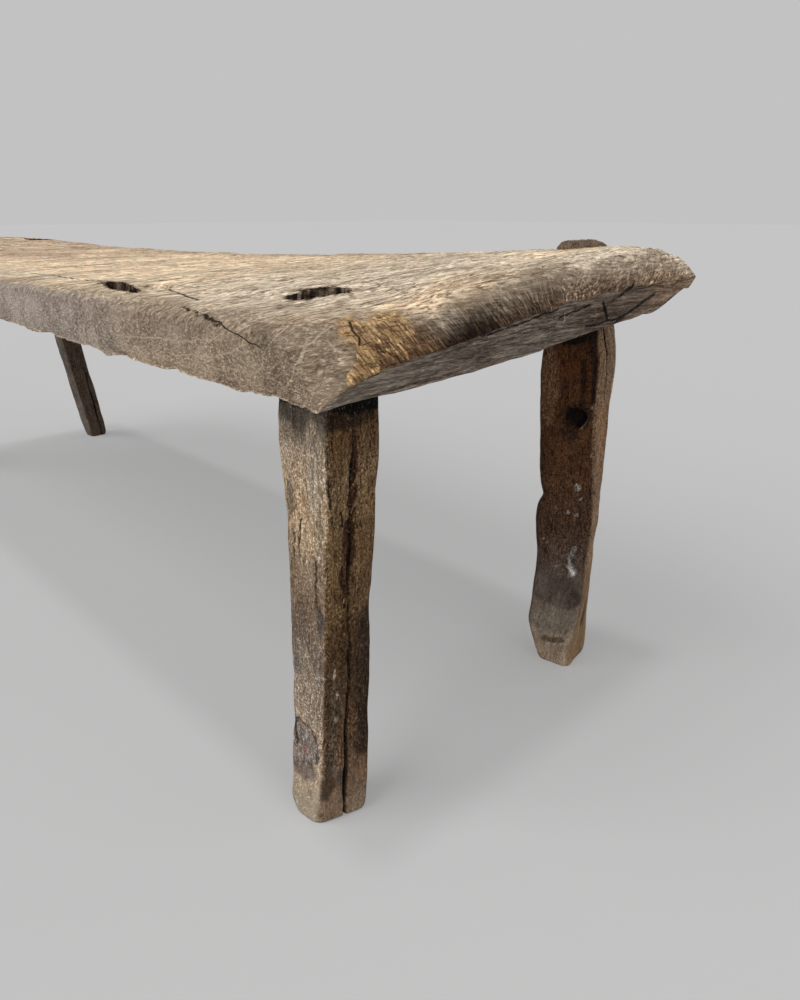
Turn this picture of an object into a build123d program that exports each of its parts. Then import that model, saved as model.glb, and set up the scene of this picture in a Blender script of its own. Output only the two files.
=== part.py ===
# Hewn teak bench: one thick plank on four splayed legs with wedged through tenons.
# Frame: +X runs along the plank to its near end, -Y is its front face, +Z is up. The origin lies on the
# floor, under the middle of the bench. Lengths are millimetres.
# A setback is a place along the plank, measured from its nearer end, and an inset is a place across it,
# measured from the nearer face, as a maker would mark them out.

import os

from build123d import *

# Plank
LENGTH = 1500.0
PLANK_WIDTH = 460.0
NOSE = 18.0
THICKNESS = 60.0
UNDERSIDE_HEIGHT = 390.0

# Through tenons and their mortises
TENON_FLATS = 40.0
DOMED_TENON_FLATS = 47.0
TENON_PROUD = 7.5
TENON_SUNK = 9.0
DOME_CHAMFER = 6.0
MORTISE_CLEARANCE = 0.3

# Level seats chopped into the underside for the shoulders of the legs
SEAT_DEPTH = 2.0
SEAT_CLEARANCE = 2.0

# Wedges driven into the tenon ends
WEDGE_LENGTH = 30.0
WEDGE_HEAD = 6.0
WEDGE_TIP = 1.6

# Legs: width at the shoulder, place of the foot, place of the tenon and turn about the leg's own height
NEAR_FRONT_SIDE = 57.0
NEAR_FRONT_FOOT = (82.0, 58.0)
NEAR_FRONT_TENON = (118.0, 92.0)
NEAR_FRONT_TURN = 0.0
NEAR_BACK_SIDE = 65.0
NEAR_BACK_FOOT = (89.0, 37.0)
NEAR_BACK_TENON = (97.0, 40.0)
NEAR_BACK_TURN = 16.0
FAR_BACK_SIDE = 47.0
FAR_BACK_FOOT = (77.0, 43.0)
FAR_BACK_TENON = (95.0, 108.0)
FAR_BACK_TURN = 4.0
FAR_FRONT_SIDE = 54.0
FAR_FRONT_FOOT = (80.0, 55.0)
FAR_FRONT_TENON = (104.0, 96.0)
FAR_FRONT_TURN = 3.0

# Rotted knot hole behind the front face
KNOT_LENGTH = 80.0
KNOT_WIDTH = 24.0
KNOT_DEPTH = 28.0
KNOT_SETBACK = 334.0
KNOT_INSET = 42.0

# Places of a cross section's points, as shares of the way from the front face to the back
TOP_ACROSS_SHARES = (0.0, 0.015, 0.045, 0.20, 0.50, 0.80, 0.96, 1.0)
UNDER_ACROSS_SHARES = (0.0, 0.25, 0.50, 0.75, 0.92, 1.0)

# Cross sections of the plank, from the near end to the far end: the share of its length, the share of
# its nose that stands out there, then the heights of the underside and of the top over the underside's
# level, as shares of its thickness. The first and last are the axe-cut end edges, low at the front face.
SECTION_SHARES = (
    (0.000, 1.0, (0.00, 0.42, 0.75, 0.86, 0.88, 0.89), (0.04, 0.08, 0.14, 0.44, 0.79, 0.89, 0.92, 0.93)),
    (0.007, 0.9, (-0.05, 0.00, 0.20, 0.30, 0.50, 0.84), (0.42, 0.48, 0.53, 0.68, 0.99, 1.11, 1.14, 1.10)),
    (0.030, 0.4, (-0.05, 0.00, 0.10, 0.20, 0.30, 0.55), (0.70, 0.78, 0.81, 0.86, 1.17, 1.31, 1.35, 1.27)),
    (0.080, 0.0, (-0.05, -0.02, 0.03, 0.12, 0.20, 0.30), (0.67, 0.75, 0.79, 0.92, 1.13, 1.27, 1.29, 1.22)),
    (0.200, 0.0, (-0.05, -0.02, 0.00, 0.03, 0.10, 0.20), (0.63, 0.72, 0.77, 0.85, 0.95, 1.07, 1.13, 1.08)),
    (0.400, 0.0, (0.00, 0.02, 0.02, 0.03, 0.05, 0.10), (0.58, 0.66, 0.70, 0.77, 0.80, 0.85, 0.88, 0.83)),
    (0.640, 0.0, (0.00, 0.01, 0.02, 0.02, 0.03, 0.06), (0.59, 0.67, 0.70, 0.73, 0.73, 0.74, 0.76, 0.70)),
    (0.840, 0.0, (0.00, 0.00, 0.02, 0.02, 0.03, 0.06), (0.62, 0.70, 0.73, 0.80, 0.81, 0.78, 0.74, 0.67)),
    (0.935, 0.0, (0.00, 0.00, 0.02, 0.03, 0.04, 0.08), (0.68, 0.77, 0.81, 0.90, 0.96, 0.90, 0.80, 0.72)),
    (0.985, 0.0, (0.02, 0.02, 0.04, 0.05, 0.07, 0.14), (0.70, 0.79, 0.84, 0.95, 1.02, 0.94, 0.79, 0.72)),
    (0.995, 0.0, (0.06, 0.08, 0.12, 0.14, 0.16, 0.24), (0.58, 0.64, 0.69, 0.78, 0.85, 0.79, 0.68, 0.62)),
    (1.000, 0.0, (0.26, 0.30, 0.38, 0.44, 0.46, 0.46), (0.30, 0.34, 0.38, 0.46, 0.52, 0.51, 0.50, 0.50)),
)

# Outlines of the legs: the share of the height under the shoulder, and the share of the shoulder width
NEAR_FRONT_SHARES = ((0.0, 0.74), (0.02, 0.79), (0.30, 0.84), (0.62, 0.93), (0.88, 1.0), (0.95, 0.99), (1.0, 0.90))
NEAR_BACK_SHARES = ((0.0, 0.64), (0.05, 0.76), (0.17, 0.86), (0.27, 0.81), (0.60, 0.94), (0.90, 1.0), (1.0, 0.91))
FAR_BACK_SHARES = ((0.0, 0.84), (0.03, 0.92), (0.29, 1.0), (0.45, 0.93), (0.70, 0.95), (0.93, 1.0), (1.0, 0.94))
FAR_FRONT_SHARES = ((0.0, 0.76), (0.03, 0.81), (0.33, 0.86), (0.60, 0.92), (0.88, 1.0), (0.95, 0.98), (1.0, 0.90))
HEWN_ARRIS_SHARE = 0.12
OCTAGON_ARRIS_SHARE = 1.0 - 2.0**-0.5

# Outline of the knot hole at its mouth, its waist and its floor
KNOT_SHARES = ((-1.0, 1.25), (0.0, 1.0), (0.55, 0.72), (1.0, 0.30))

WIDTH = PLANK_WIDTH + NOSE
OVERRUN = THICKNESS


def near_place(setback_inset, from_back):
    """A place near the near end, in plan, measured from the front face or from the back."""
    setback, inset = setback_inset
    y = PLANK_WIDTH - inset if from_back else inset
    return Vector(LENGTH / 2 - setback, y - WIDTH / 2)


def far_place(setback_inset, from_back):
    """A place near the far end, in plan, measured from the front face or from the back."""
    mirrored = near_place(setback_inset, from_back)
    return Vector(-mirrored.X, mirrored.Y)


def section_points(x, span, across_shares, lift_shares):
    """The points of one line of a cross section, from the front face to the back."""
    return [
        Vector(x, span * share - WIDTH / 2, UNDERSIDE_HEIGHT + THICKNESS * lift)
        for share, lift in zip(across_shares, lift_shares)
    ]


def plank_section(section):
    """One closed cross section: a worn top line, the back, the underside and the front face."""
    length_share, nose_share, under_shares, top_shares = section
    x = LENGTH / 2 - LENGTH * length_share
    span = PLANK_WIDTH + NOSE * nose_share
    top = section_points(x, span, TOP_ACROSS_SHARES, top_shares)
    under = section_points(x, span, UNDER_ACROSS_SHARES, under_shares)
    under.reverse()
    return Wire([Spline(*top), Line(top[-1], under[0]), Spline(*under), Line(under[-1], top[0])])


def hewn_outline(middle, side, arris_share, turn):
    """A level square with its arrises hewn off, as a closed outline of eight edges."""
    half = side / 2
    flat = half - side * arris_share
    corners = [
        Vector(u, v, 0).rotate(Axis.Z, turn + quarter * 90) + middle
        for quarter in range(4)
        for u, v in ((half, flat), (flat, half))
    ]
    return Wire(Polyline(*corners, close=True).edges())


def on_axis(foot, tenon, height):
    """The point of a leg's sloping middle line at a height."""
    share = height / tenon.Z
    return Vector(foot.X + (tenon.X - foot.X) * share, foot.Y + (tenon.Y - foot.Y) * share, height)


def octagon_prism(foot, tenon, heights_and_flats):
    """A whittled octagon that follows a leg's slope through the given heights and widths."""
    outlines = [
        hewn_outline(on_axis(foot, tenon, height), flats, OCTAGON_ARRIS_SHARE, 0)
        for height, flats in heights_and_flats
    ]
    return Solid.make_loft(outlines, ruled=True)


def plank_heights(plank, place):
    """The heights of the underside and of the top over a place in plan."""
    crossings = plank.find_intersection_points(Axis((place.X, place.Y, 0), (0, 0, 1)))
    heights = [point.Z for point, _ in crossings]
    return min(heights), max(heights)


def seat_height(plank, foot, tenon, side, turn):
    """The level of a shoulder's seat: just above the highest underside under its corners."""
    under, _ = plank_heights(plank, tenon)
    corners = hewn_outline(on_axis(foot, tenon, under), side, HEWN_ARRIS_SHARE, turn).vertices()
    return max(plank_heights(plank, corner)[0] for corner in corners) + SEAT_DEPTH


def wedge_block(top):
    """The whole taper that a wedge and its kerf are cut to, wider than any tenon."""
    half_head = WEDGE_HEAD / 2
    half_tip = WEDGE_TIP / 2
    outline = Polyline(
        top + Vector(-half_head, -OVERRUN, 0),
        top + Vector(half_head, -OVERRUN, 0),
        top + Vector(half_tip, -OVERRUN, -WEDGE_LENGTH),
        top + Vector(-half_tip, -OVERRUN, -WEDGE_LENGTH),
        close=True,
    )
    return Solid.extrude(Face(Wire(outline.edges())), Vector(0, OVERRUN * 2, 0))


def knot_hole(plank):
    """A long pocket that narrows to its floor, rotted out along the grain."""
    place = near_place((KNOT_SETBACK, KNOT_INSET), from_back=False)
    _, top = plank_heights(plank, place)
    outlines = []
    for depth_share, size_share in KNOT_SHARES:
        level = Plane((place.X, place.Y, top - KNOT_DEPTH * depth_share))
        outlines.append(Wire.make_ellipse(KNOT_LENGTH / 2 * size_share, KNOT_WIDTH / 2 * size_share, level))
    return Solid.make_loft(outlines, ruled=True)


LEGS = {
    "near_front": (
        near_place(NEAR_FRONT_FOOT, from_back=False),
        near_place(NEAR_FRONT_TENON, from_back=False),
        NEAR_FRONT_SIDE,
        NEAR_FRONT_TURN,
        NEAR_FRONT_SHARES,
    ),
    "near_back": (
        near_place(NEAR_BACK_FOOT, from_back=True),
        near_place(NEAR_BACK_TENON, from_back=True),
        NEAR_BACK_SIDE,
        NEAR_BACK_TURN,
        NEAR_BACK_SHARES,
    ),
    "far_back": (
        far_place(FAR_BACK_FOOT, from_back=True),
        far_place(FAR_BACK_TENON, from_back=True),
        FAR_BACK_SIDE,
        FAR_BACK_TURN,
        FAR_BACK_SHARES,
    ),
    "far_front": (
        far_place(FAR_FRONT_FOOT, from_back=False),
        far_place(FAR_FRONT_TENON, from_back=False),
        FAR_FRONT_SIDE,
        FAR_FRONT_TURN,
        FAR_FRONT_SHARES,
    ),
}
DOMED_LEG = "near_back"


def leg_and_wedge(plank, name):
    """One leg with its tenon, its wedge, and what both take out of the plank."""
    foot, tenon_place, side, turn, outline_shares = LEGS[name]
    _, top = plank_heights(plank, tenon_place)
    tenon = Vector(tenon_place.X, tenon_place.Y, top)
    seat = seat_height(plank, foot, tenon, side * outline_shares[-1][1], turn)

    outlines = [
        hewn_outline(on_axis(foot, tenon, seat * height), side * width, HEWN_ARRIS_SHARE, turn)
        for height, width in outline_shares
    ]
    body = Solid.make_loft(outlines, ruled=True)

    if name == DOMED_LEG:
        flats = DOMED_TENON_FLATS
        end = top + TENON_PROUD
        stem = ((seat, flats), (end - DOME_CHAMFER, flats), (end, flats - DOME_CHAMFER * 2))
    else:
        flats = TENON_FLATS
        end = top - TENON_SUNK
        stem = ((seat, flats), (end, flats))
    tenon_solid = octagon_prism(foot, tenon, stem)

    block = wedge_block(on_axis(foot, tenon, end))
    wedge = tenon_solid & block
    leg = (body + tenon_solid) - block

    mouth = flats + MORTISE_CLEARANCE * 2
    mortise = octagon_prism(foot, tenon, ((seat - OVERRUN, mouth), (top + OVERRUN, mouth)))
    shoulder = side * outline_shares[-1][1] + SEAT_CLEARANCE * 2
    seat_outline = hewn_outline(on_axis(foot, tenon, seat), shoulder, HEWN_ARRIS_SHARE, turn)
    seat_cut = Solid.extrude(Face(seat_outline), Vector(0, 0, -OVERRUN))
    return leg, wedge, [mortise, seat_cut]


def save(solid, name):
    """Write one piece to its file and print what was made."""
    export_step(solid, f"parts/{name}.step")
    box = solid.bounding_box()
    print(f"{name}: {solid.volume / 1000:.1f} cm3, {box.size.X:.1f} x {box.size.Y:.1f} x {box.size.Z:.1f}")


def main():
    os.makedirs("parts", exist_ok=True)
    blank = Solid.make_loft([plank_section(section) for section in SECTION_SHARES], ruled=False)
    cuts = [knot_hole(blank)]
    for name in LEGS:
        leg, wedge, leg_cuts = leg_and_wedge(blank, name)
        save(leg, f"leg_{name}")
        save(wedge, f"wedge_{name}")
        cuts.extend(leg_cuts)
    save(blank.cut(*cuts), "seat_plank")


main()
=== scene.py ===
# %% [markdown]
# A hewn teak bench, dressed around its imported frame
#
# The bench is nine pieces of very old wood: one thick plank, four splayed legs whose tenons come up through
# it, and a wedge driven into each tenon. Nothing on it is straight, smooth or evenly coloured, so every
# piece is a surface worked out on a grid of points, and every point carries its own painted colour.
# Lengths are metres. +X runs along the plank to its near end, -Y is its front face and +Z is up.

# %% The frame that everything is built around
import math

import bpy
import numpy as np
from mathutils import Matrix, Vector


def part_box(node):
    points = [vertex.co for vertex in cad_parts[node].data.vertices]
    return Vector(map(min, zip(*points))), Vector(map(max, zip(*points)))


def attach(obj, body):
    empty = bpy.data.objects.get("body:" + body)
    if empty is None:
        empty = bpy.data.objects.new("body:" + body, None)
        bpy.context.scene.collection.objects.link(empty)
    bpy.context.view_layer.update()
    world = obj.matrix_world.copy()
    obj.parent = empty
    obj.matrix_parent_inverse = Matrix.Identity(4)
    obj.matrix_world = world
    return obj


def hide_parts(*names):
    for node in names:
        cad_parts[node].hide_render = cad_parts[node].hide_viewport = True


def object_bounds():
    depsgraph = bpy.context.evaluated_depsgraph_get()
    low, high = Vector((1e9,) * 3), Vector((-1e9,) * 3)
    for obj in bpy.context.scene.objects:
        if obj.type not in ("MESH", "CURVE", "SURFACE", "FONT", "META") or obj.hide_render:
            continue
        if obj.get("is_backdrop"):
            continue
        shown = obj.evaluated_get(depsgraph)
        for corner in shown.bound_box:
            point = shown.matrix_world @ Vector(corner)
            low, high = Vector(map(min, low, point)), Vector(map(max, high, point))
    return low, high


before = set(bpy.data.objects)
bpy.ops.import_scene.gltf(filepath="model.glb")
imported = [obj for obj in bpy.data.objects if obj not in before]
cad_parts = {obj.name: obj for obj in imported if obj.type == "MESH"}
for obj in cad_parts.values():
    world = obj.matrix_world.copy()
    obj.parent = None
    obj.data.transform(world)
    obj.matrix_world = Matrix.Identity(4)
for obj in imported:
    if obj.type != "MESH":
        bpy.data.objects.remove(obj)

CAD_LOW, CAD_HIGH = (np.array(corner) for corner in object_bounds())
MM = 0.001
print("frame box", CAD_LOW.round(4), CAD_HIGH.round(4))

# %% [markdown]
# The camera
#
# The photograph was taken from just above seat height, close to the near front corner, looking down the
# bench. The two floor lines of the plank and its level horizon fix the lens and the tilt. A camera that
# is only turned and tilted, with no shift, gives the same picture.

# %% Camera
CAMERA_PLACE = (1.115, -0.520, 0.506)
CAMERA_TURN_DEGREES = 46.23
CAMERA_DROP_DEGREES = 20.89
LENS_MM = 27.36
FILM_HEIGHT_MM = 36.0

camera_data = bpy.data.cameras.new("camera")
camera_data.sensor_fit = "VERTICAL"
camera_data.sensor_height = FILM_HEIGHT_MM
camera_data.lens = LENS_MM
camera = bpy.data.objects.new("camera", camera_data)
camera.location = CAMERA_PLACE
camera.rotation_euler = (math.radians(90 - CAMERA_DROP_DEGREES), 0, math.radians(CAMERA_TURN_DEGREES))
bpy.context.scene.collection.objects.link(camera)
bpy.context.scene.camera = camera
print("camera at", CAMERA_PLACE, "lens", LENS_MM)

# %% [markdown]
# Floor and light
#
# A weathered surface looks flat under light from everywhere and harsh under a bare lamp. One broad sun
# from the front and above rakes the hewn marks, a weak one from the other side lifts the far faces, and an
# even sky fills the rest. The floor is so lit that it comes out the same plain grey as the sky that the
# camera sees behind it, so no horizon shows, and it still takes the shadow of the bench.

# %% Floor and light
BACKGROUND_GREY = 0.540
SKY_STRENGTH = 0.40
FLOOR_HALF_WIDTH = 30.0
FLOOR_GREY = 0.480
FLOOR_OWN_LIGHT = 0.42


def soft_sun(name, comes_from, strength, spread_degrees):
    """A far lamp, so that its light doesn't fall off, with a wide disc for soft shadow edges."""
    lamp = bpy.data.lights.new(name, "SUN")
    lamp.energy = strength
    lamp.angle = math.radians(spread_degrees)
    sun = bpy.data.objects.new(name, lamp)
    sun.rotation_euler = Vector(comes_from).to_track_quat("Z", "Y").to_euler()
    bpy.context.scene.collection.objects.link(sun)
    return sun


soft_sun("key_light", (-0.30, -0.78, 0.70), 2.25, 55)
soft_sun("top_light", (-0.027, -0.080, 1.0), 0.62, 6)
soft_sun("back_light", (0.35, 0.75, 0.65), 0.30, 60)
soft_sun("end_light", (1.0, -0.10, 0.10), 1.44, 50)

sky = bpy.data.worlds.new("sky")
sky.use_nodes = True
sky_nodes = sky.node_tree.nodes
sky_links = sky.node_tree.links
sky_light = sky_nodes["Background"]
sky_light.inputs["Color"].default_value = (1, 1, 1, 1)
sky_light.inputs["Strength"].default_value = SKY_STRENGTH
sky_seen = sky_nodes.new("ShaderNodeBackground")
sky_seen.inputs["Color"].default_value = (BACKGROUND_GREY, BACKGROUND_GREY, BACKGROUND_GREY, 1)
ray_kind = sky_nodes.new("ShaderNodeLightPath")
sky_choice = sky_nodes.new("ShaderNodeMixShader")
sky_links.new(ray_kind.outputs["Is Camera Ray"], sky_choice.inputs[0])
sky_links.new(sky_light.outputs[0], sky_choice.inputs[1])
sky_links.new(sky_seen.outputs[0], sky_choice.inputs[2])
sky_links.new(sky_choice.outputs[0], sky_nodes["World Output"].inputs["Surface"])
bpy.context.scene.world = sky
bpy.context.scene.view_settings.view_transform = "Standard"

# %% [markdown]
# Shader sums written as sums
#
# A finish is a graph of nodes, and a graph is hard to read as code. One small class wraps an output, so
# that a sum or product of outputs is written as in ordinary arithmetic, and it adds the Math node itself.
# Any other node comes from one method that takes its kind, its settings and what goes into its sockets.


# %% Shader sums
class Value:
    """One output of a finish's graph. Sums and products of it add Math nodes."""

    def __init__(self, finish, socket):
        self.finish = finish
        self.socket = socket

    def math(self, operation, *others):
        inputs = dict(enumerate((self, *others)))
        return self.finish.node("ShaderNodeMath", {"operation": operation}, inputs)

    def __add__(self, other):
        return self.math("ADD", other)

    __radd__ = __add__

    def __mul__(self, other):
        return self.math("MULTIPLY", other)

    __rmul__ = __mul__

    def __sub__(self, other):
        return self.math("SUBTRACT", other)

    def __rsub__(self, other):
        return self * -1 + other

    def __truediv__(self, other):
        return self.math("DIVIDE", other)

    def __abs__(self):
        return self.math("ABSOLUTE")

    def step(self, low, high):
        """0 below low and 1 above high, with a smooth rise between. low may be the larger."""
        inputs = {"Value": self, 1: low, 2: high}
        return self.finish.node("ShaderNodeMapRange", {"interpolation_type": "SMOOTHSTEP"}, inputs)


class Finish:
    """A material and the nodes that it is made of."""

    def __init__(self, name):
        self.material = bpy.data.materials.new(name)
        self.material.use_nodes = True
        self.tree = self.material.node_tree
        self.shader = self.tree.nodes["Principled BSDF"]

    def node(self, kind, settings=None, sockets=None, output=0):
        """Adds a node of a kind: first its settings, then numbers or links for its sockets."""
        node = self.tree.nodes.new(kind)
        for name, setting in (settings or {}).items():
            if name == "stops":
                self.set_stops(node.color_ramp, setting)
            else:
                setattr(node, name, setting)
        for key, value in (sockets or {}).items():
            self.put(node.inputs[key], value)
        return Value(self, node.outputs[output])

    def set_stops(self, ramp, stops):
        while len(ramp.elements) < len(stops):
            ramp.elements.new(1.0)
        for element, (place, colour) in zip(ramp.elements, stops):
            element.position = place
            element.color = (*colour, 1)

    def put(self, socket, value):
        if isinstance(value, Value):
            self.tree.links.new(value.socket, socket)
        else:
            socket.default_value = value

    def painted(self, name):
        """The colour that a mesh's points carry under a name."""
        return self.node("ShaderNodeAttribute", {"attribute_name": name}, output="Color")

    def place(self):
        return self.node("ShaderNodeTexCoord", output="Object")

    def scaled(self, vector, factors):
        return self.node("ShaderNodeVectorMath", {"operation": "MULTIPLY"}, {0: vector, 1: factors})

    def shifted(self, vector, other):
        return self.node("ShaderNodeVectorMath", {"operation": "ADD"}, {0: vector, 1: other})

    def parts(self, vector):
        node = self.node("ShaderNodeSeparateXYZ", sockets={0: vector}).socket.node
        return [Value(self, socket) for socket in node.outputs]

    def noise(self, vector, scale, detail=3.0, roughness=0.55, output=0, distortion=0.0):
        sockets = {"Vector": vector, "Scale": scale, "Detail": detail, "Roughness": roughness}
        sockets["Distortion"] = distortion
        return self.node("ShaderNodeTexNoise", None, sockets, output)

    def mixed(self, share, first, second, blend="MIX"):
        """A blend of two colours: all of the first at 0 and of the second at 1."""
        settings = {"data_type": "RGBA", "blend_type": blend}
        return self.node("ShaderNodeMix", settings, {0: share, 6: first, 7: second}, 2)

    def toned(self, colour, factor):
        """A colour made lighter or darker by a factor."""
        return self.node("ShaderNodeVectorMath", {"operation": "SCALE"}, {0: colour, 3: factor})

    def finish(self, colour, roughness, height, relief, specular=0.10):
        bump = self.node("ShaderNodeBump", None, {"Strength": 1.0, "Distance": relief, "Height": height})
        self.put(self.shader.inputs["Base Color"], colour)
        self.put(self.shader.inputs["Roughness"], roughness)
        self.put(self.shader.inputs["Normal"], bump)
        self.shader.inputs["Specular IOR Level"].default_value = specular
        return self.material


floor_finish = Finish("floor_grey")
floor_speck = floor_finish.noise(floor_finish.place(), 3.0)
floor_grey = floor_finish.toned((FLOOR_GREY,) * 3, 0.995 + 0.01 * floor_speck)
floor_material = floor_finish.finish(floor_grey, 0.95, floor_speck, 0.0, 0.0)
floor_paper = (BACKGROUND_GREY, BACKGROUND_GREY, BACKGROUND_GREY, 1)
floor_seen = floor_finish.node("ShaderNodeEmission", None, {"Color": floor_paper})
floor_share = FLOOR_OWN_LIGHT * floor_finish.node("ShaderNodeLightPath", output="Is Camera Ray")
floor_lit = Value(floor_finish, floor_finish.shader.outputs[0])
floor_mix = floor_finish.node("ShaderNodeMixShader", None, {0: floor_share, 1: floor_lit, 2: floor_seen})
floor_finish.put(floor_finish.tree.nodes["Material Output"].inputs["Surface"], floor_mix)

floor_mesh = bpy.data.meshes.new("floor")
floor_corners = [(x, y, 0) for x, y in ((-1, -1), (1, -1), (1, 1), (-1, 1))]
floor_mesh.from_pydata(np.array(floor_corners) * FLOOR_HALF_WIDTH, [], [(0, 1, 2, 3)])
floor_mesh.materials.append(floor_material)
floor = bpy.data.objects.new("floor", floor_mesh)
bpy.context.scene.collection.objects.link(floor)
floor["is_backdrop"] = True

# %% [markdown]
# Curves, steps and noise on arrays
#
# Old wood is a plain form with chance laid over it. Three helpers give both: a curve that runs through a
# few given heights and never overshoots them, a smooth step from 0 to 1, and a noise that blends
# numbers drawn at the corners of a lattice. All of them take whole arrays at once.


# %% Curves, steps and noise
def curve_through(at, knots, rows):
    """Heights at given places on curves through rows of heights at the knots: in each span a cubic, whose
    slope at a knot is the harmonic mean of the slopes beside it, or zero where those differ in sign."""
    at = np.clip(at, knots[0], knots[-1])
    knots = np.asarray(knots, float)
    rows = np.asarray(rows, float)
    flat = rows.reshape(len(knots), -1)
    width = np.diff(knots)[:, None]
    rise = np.diff(flat, axis=0) / width
    slope = np.zeros_like(flat)
    slope[0], slope[-1] = rise[0], rise[-1]
    before, after = rise[:-1], rise[1:]
    same = before * after > 0
    safe_before, safe_after = np.where(same, before, 1), np.where(same, after, 1)
    weight_before = 2 * width[1:] + width[:-1]
    weight_after = width[1:] + 2 * width[:-1]
    mean = (weight_before + weight_after) / (weight_before / safe_before + weight_after / safe_after)
    slope[1:-1] = np.where(same, mean, 0)
    shape = at.shape + rows.shape[1:]
    at = at.reshape(-1)
    span = np.clip(np.searchsorted(knots, at, side="right") - 1, 0, len(knots) - 2)
    step = width[span]
    part = ((at - knots[span])[:, None]) / step
    rest = 1 - part
    ends = flat[span] * rest**2 * (1 + 2 * part) + flat[span + 1] * part**2 * (3 - 2 * part)
    bends = step * part * rest * (slope[span] * rest - slope[span + 1] * part)
    return (ends + bends).reshape(shape)


def smooth_step(value, low, high):
    """0 at low, 1 at high and a smooth rise between: three times the square less twice the cube."""
    part = np.clip((value - low) / (high - low), 0, 1)
    return part * part * (3 - 2 * part)


def lower_of(first, second, blend):
    """The lower of two heights, rounded off over the blend where they cross."""
    share = np.clip(0.5 + 0.5 * (second - first) / blend, 0, 1)
    return second + (first - second) * share - blend * share * (1 - share)


def lattice_draw(cell, seed):
    """A number from -1 to 1 for each whole cell, from its coordinates and the seed mixed bit by bit."""
    primes = np.array((73856093, 19349663, 83492791), np.int64)
    key = ((cell * primes).sum(-1) + seed * 40503007) & 0xFFFFFFFF
    for factor in (0x45D9F3B, 0x119DE1F3):
        key = ((key ^ (key >> 16)) * factor) & 0xFFFFFFFF
    return (key ^ (key >> 16)) / 0x7FFFFFFF - 1.0


def noise_at(points, size, seed, octaves=1):
    """Noise from about -1 to 1. size is a cell's size along each axis, and each octave halves it."""
    total = np.zeros(points.shape[:-1])
    for octave in range(octaves):
        scaled = points / (np.asarray(size, float) / 2**octave)
        cell = np.floor(scaled).astype(np.int64)
        part = scaled - cell
        blend = part**3 * (part * (part * 6 - 15) + 10)
        for corner in np.ndindex(2, 2, 2):
            weight = np.where(corner, blend, 1 - blend).prod(-1)
            total += weight * lattice_draw(cell + corner, seed + octave) / 2**octave
    return total


def spaced(stretches):
    """Places from 0 through the given (end, step) stretches, evenly spaced within each."""
    places = [np.zeros(1)]
    for end, step in stretches:
        start = places[-1][-1]
        count = max(1, int(round((end - start) / step)))
        places.append(start + (end - start) * np.arange(1, count + 1) / count)
    return np.concatenate(places)


# %% [markdown]
# From a grid to a mesh
#
# Each piece is a tube of rings that is closed at both ends. The rings are the rows of one array of points,
# and the faces follow from the row and the column alone. The points are moved along their own normals for
# relief, and colours painted on them are kept as attributes that the finish reads.


# %% From a grid to a mesh
def grid_normals(points):
    """Unit normals of a grid that is closed along its columns: the cross product of its two slopes."""
    around = np.roll(points, -1, axis=1) - np.roll(points, 1, axis=1)
    along = np.gradient(points, axis=0)
    normals = np.cross(around, along)
    return normals / np.maximum(np.linalg.norm(normals, axis=2, keepdims=True), 1e-9)


def tube_faces(rows, columns):
    """The four corners of each face of a tube of rings, in order, so that its normal points outwards."""
    index = np.arange(rows * columns).reshape(rows, columns)
    across = np.roll(index, -1, axis=1)
    return np.stack([index[:-1], across[:-1], across[1:], index[1:]], -1).reshape(-1, 4)


def make_piece(name, rings, paints, material, node):
    """One closed mesh from rings of points, with its painted colours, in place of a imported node."""
    rows, columns = rings.shape[:2]
    faces = tube_faces(rows, columns).tolist()
    faces.append(list(range(columns))[::-1])
    faces.append(list(range((rows - 1) * columns, rows * columns)))
    mesh = bpy.data.meshes.new(name)
    mesh.from_pydata(rings.reshape(-1, 3).tolist(), [], faces)
    for paint_name, colours in paints.items():
        layer = mesh.attributes.new(paint_name, "FLOAT_COLOR", "POINT")
        rgba = np.ones((rows * columns, 4), np.float32)
        rgba[:, :3] = colours.reshape(-1, 3)
        layer.data.foreach_set("color", rgba.reshape(-1))
    mesh.polygons.foreach_set("use_smooth", np.ones(len(faces), bool))
    mesh.set_sharp_from_angle(angle=math.radians(62))
    mesh.materials.append(material)
    mesh.validate()
    piece = bpy.data.objects.new(name, mesh)
    bpy.context.scene.collection.objects.link(piece)
    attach(piece, "root")
    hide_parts(node)
    print(name, "points", rows * columns, "triangles", 2 * (rows - 1) * columns)
    return piece


def paint_over(colours, colour, share):
    """Colours mixed with one colour by a share from 0 to 1 at each point."""
    return colours + (np.asarray(colour) - colours) * np.clip(share, 0, 1)[..., None]


def spot(along, across, middle, half_size, full=0.55):
    """1 at the middle of an ellipse, as far as a full share of its size, and 0 from its edge on."""
    reach = np.hypot((along - middle[0]) / half_size[0], (across - middle[1]) / half_size[1])
    return 1 - smooth_step(reach, full, 1.0)


def stroke(along, across, places, half_width):
    """1 on a line through a few places and 0 beyond its half width: the least distance from any of its
    straight spans, where the nearest place on a span is a share from 0 to 1 of its length."""
    apart = np.full(along.shape, np.inf)
    for first, second in zip(places[:-1], places[1:]):
        span = np.subtract(second, first)
        share = ((along - first[0]) * span[0] + (across - first[1]) * span[1]) / (span @ span)
        share = np.clip(share, 0, 1)
        gap = np.hypot(along - first[0] - share * span[0], across - first[1] - share * span[1])
        apart = np.minimum(apart, gap)
    return 1 - smooth_step(apart / half_width, 0.6, 1.1)


def between(along, across, places, edge):
    """1 between a lower and an upper limit of across, both given at a few places along, else 0."""
    knots, lower, upper = np.array(places, float).T
    low, high = np.interp(along, knots, lower), np.interp(along, knots, upper)
    inside = smooth_step(across - low, 0, edge) * smooth_step(high - across, 0, edge)
    return inside * smooth_step(along - knots[0], 0, edge) * smooth_step(knots[-1] - along, 0, edge)


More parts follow.
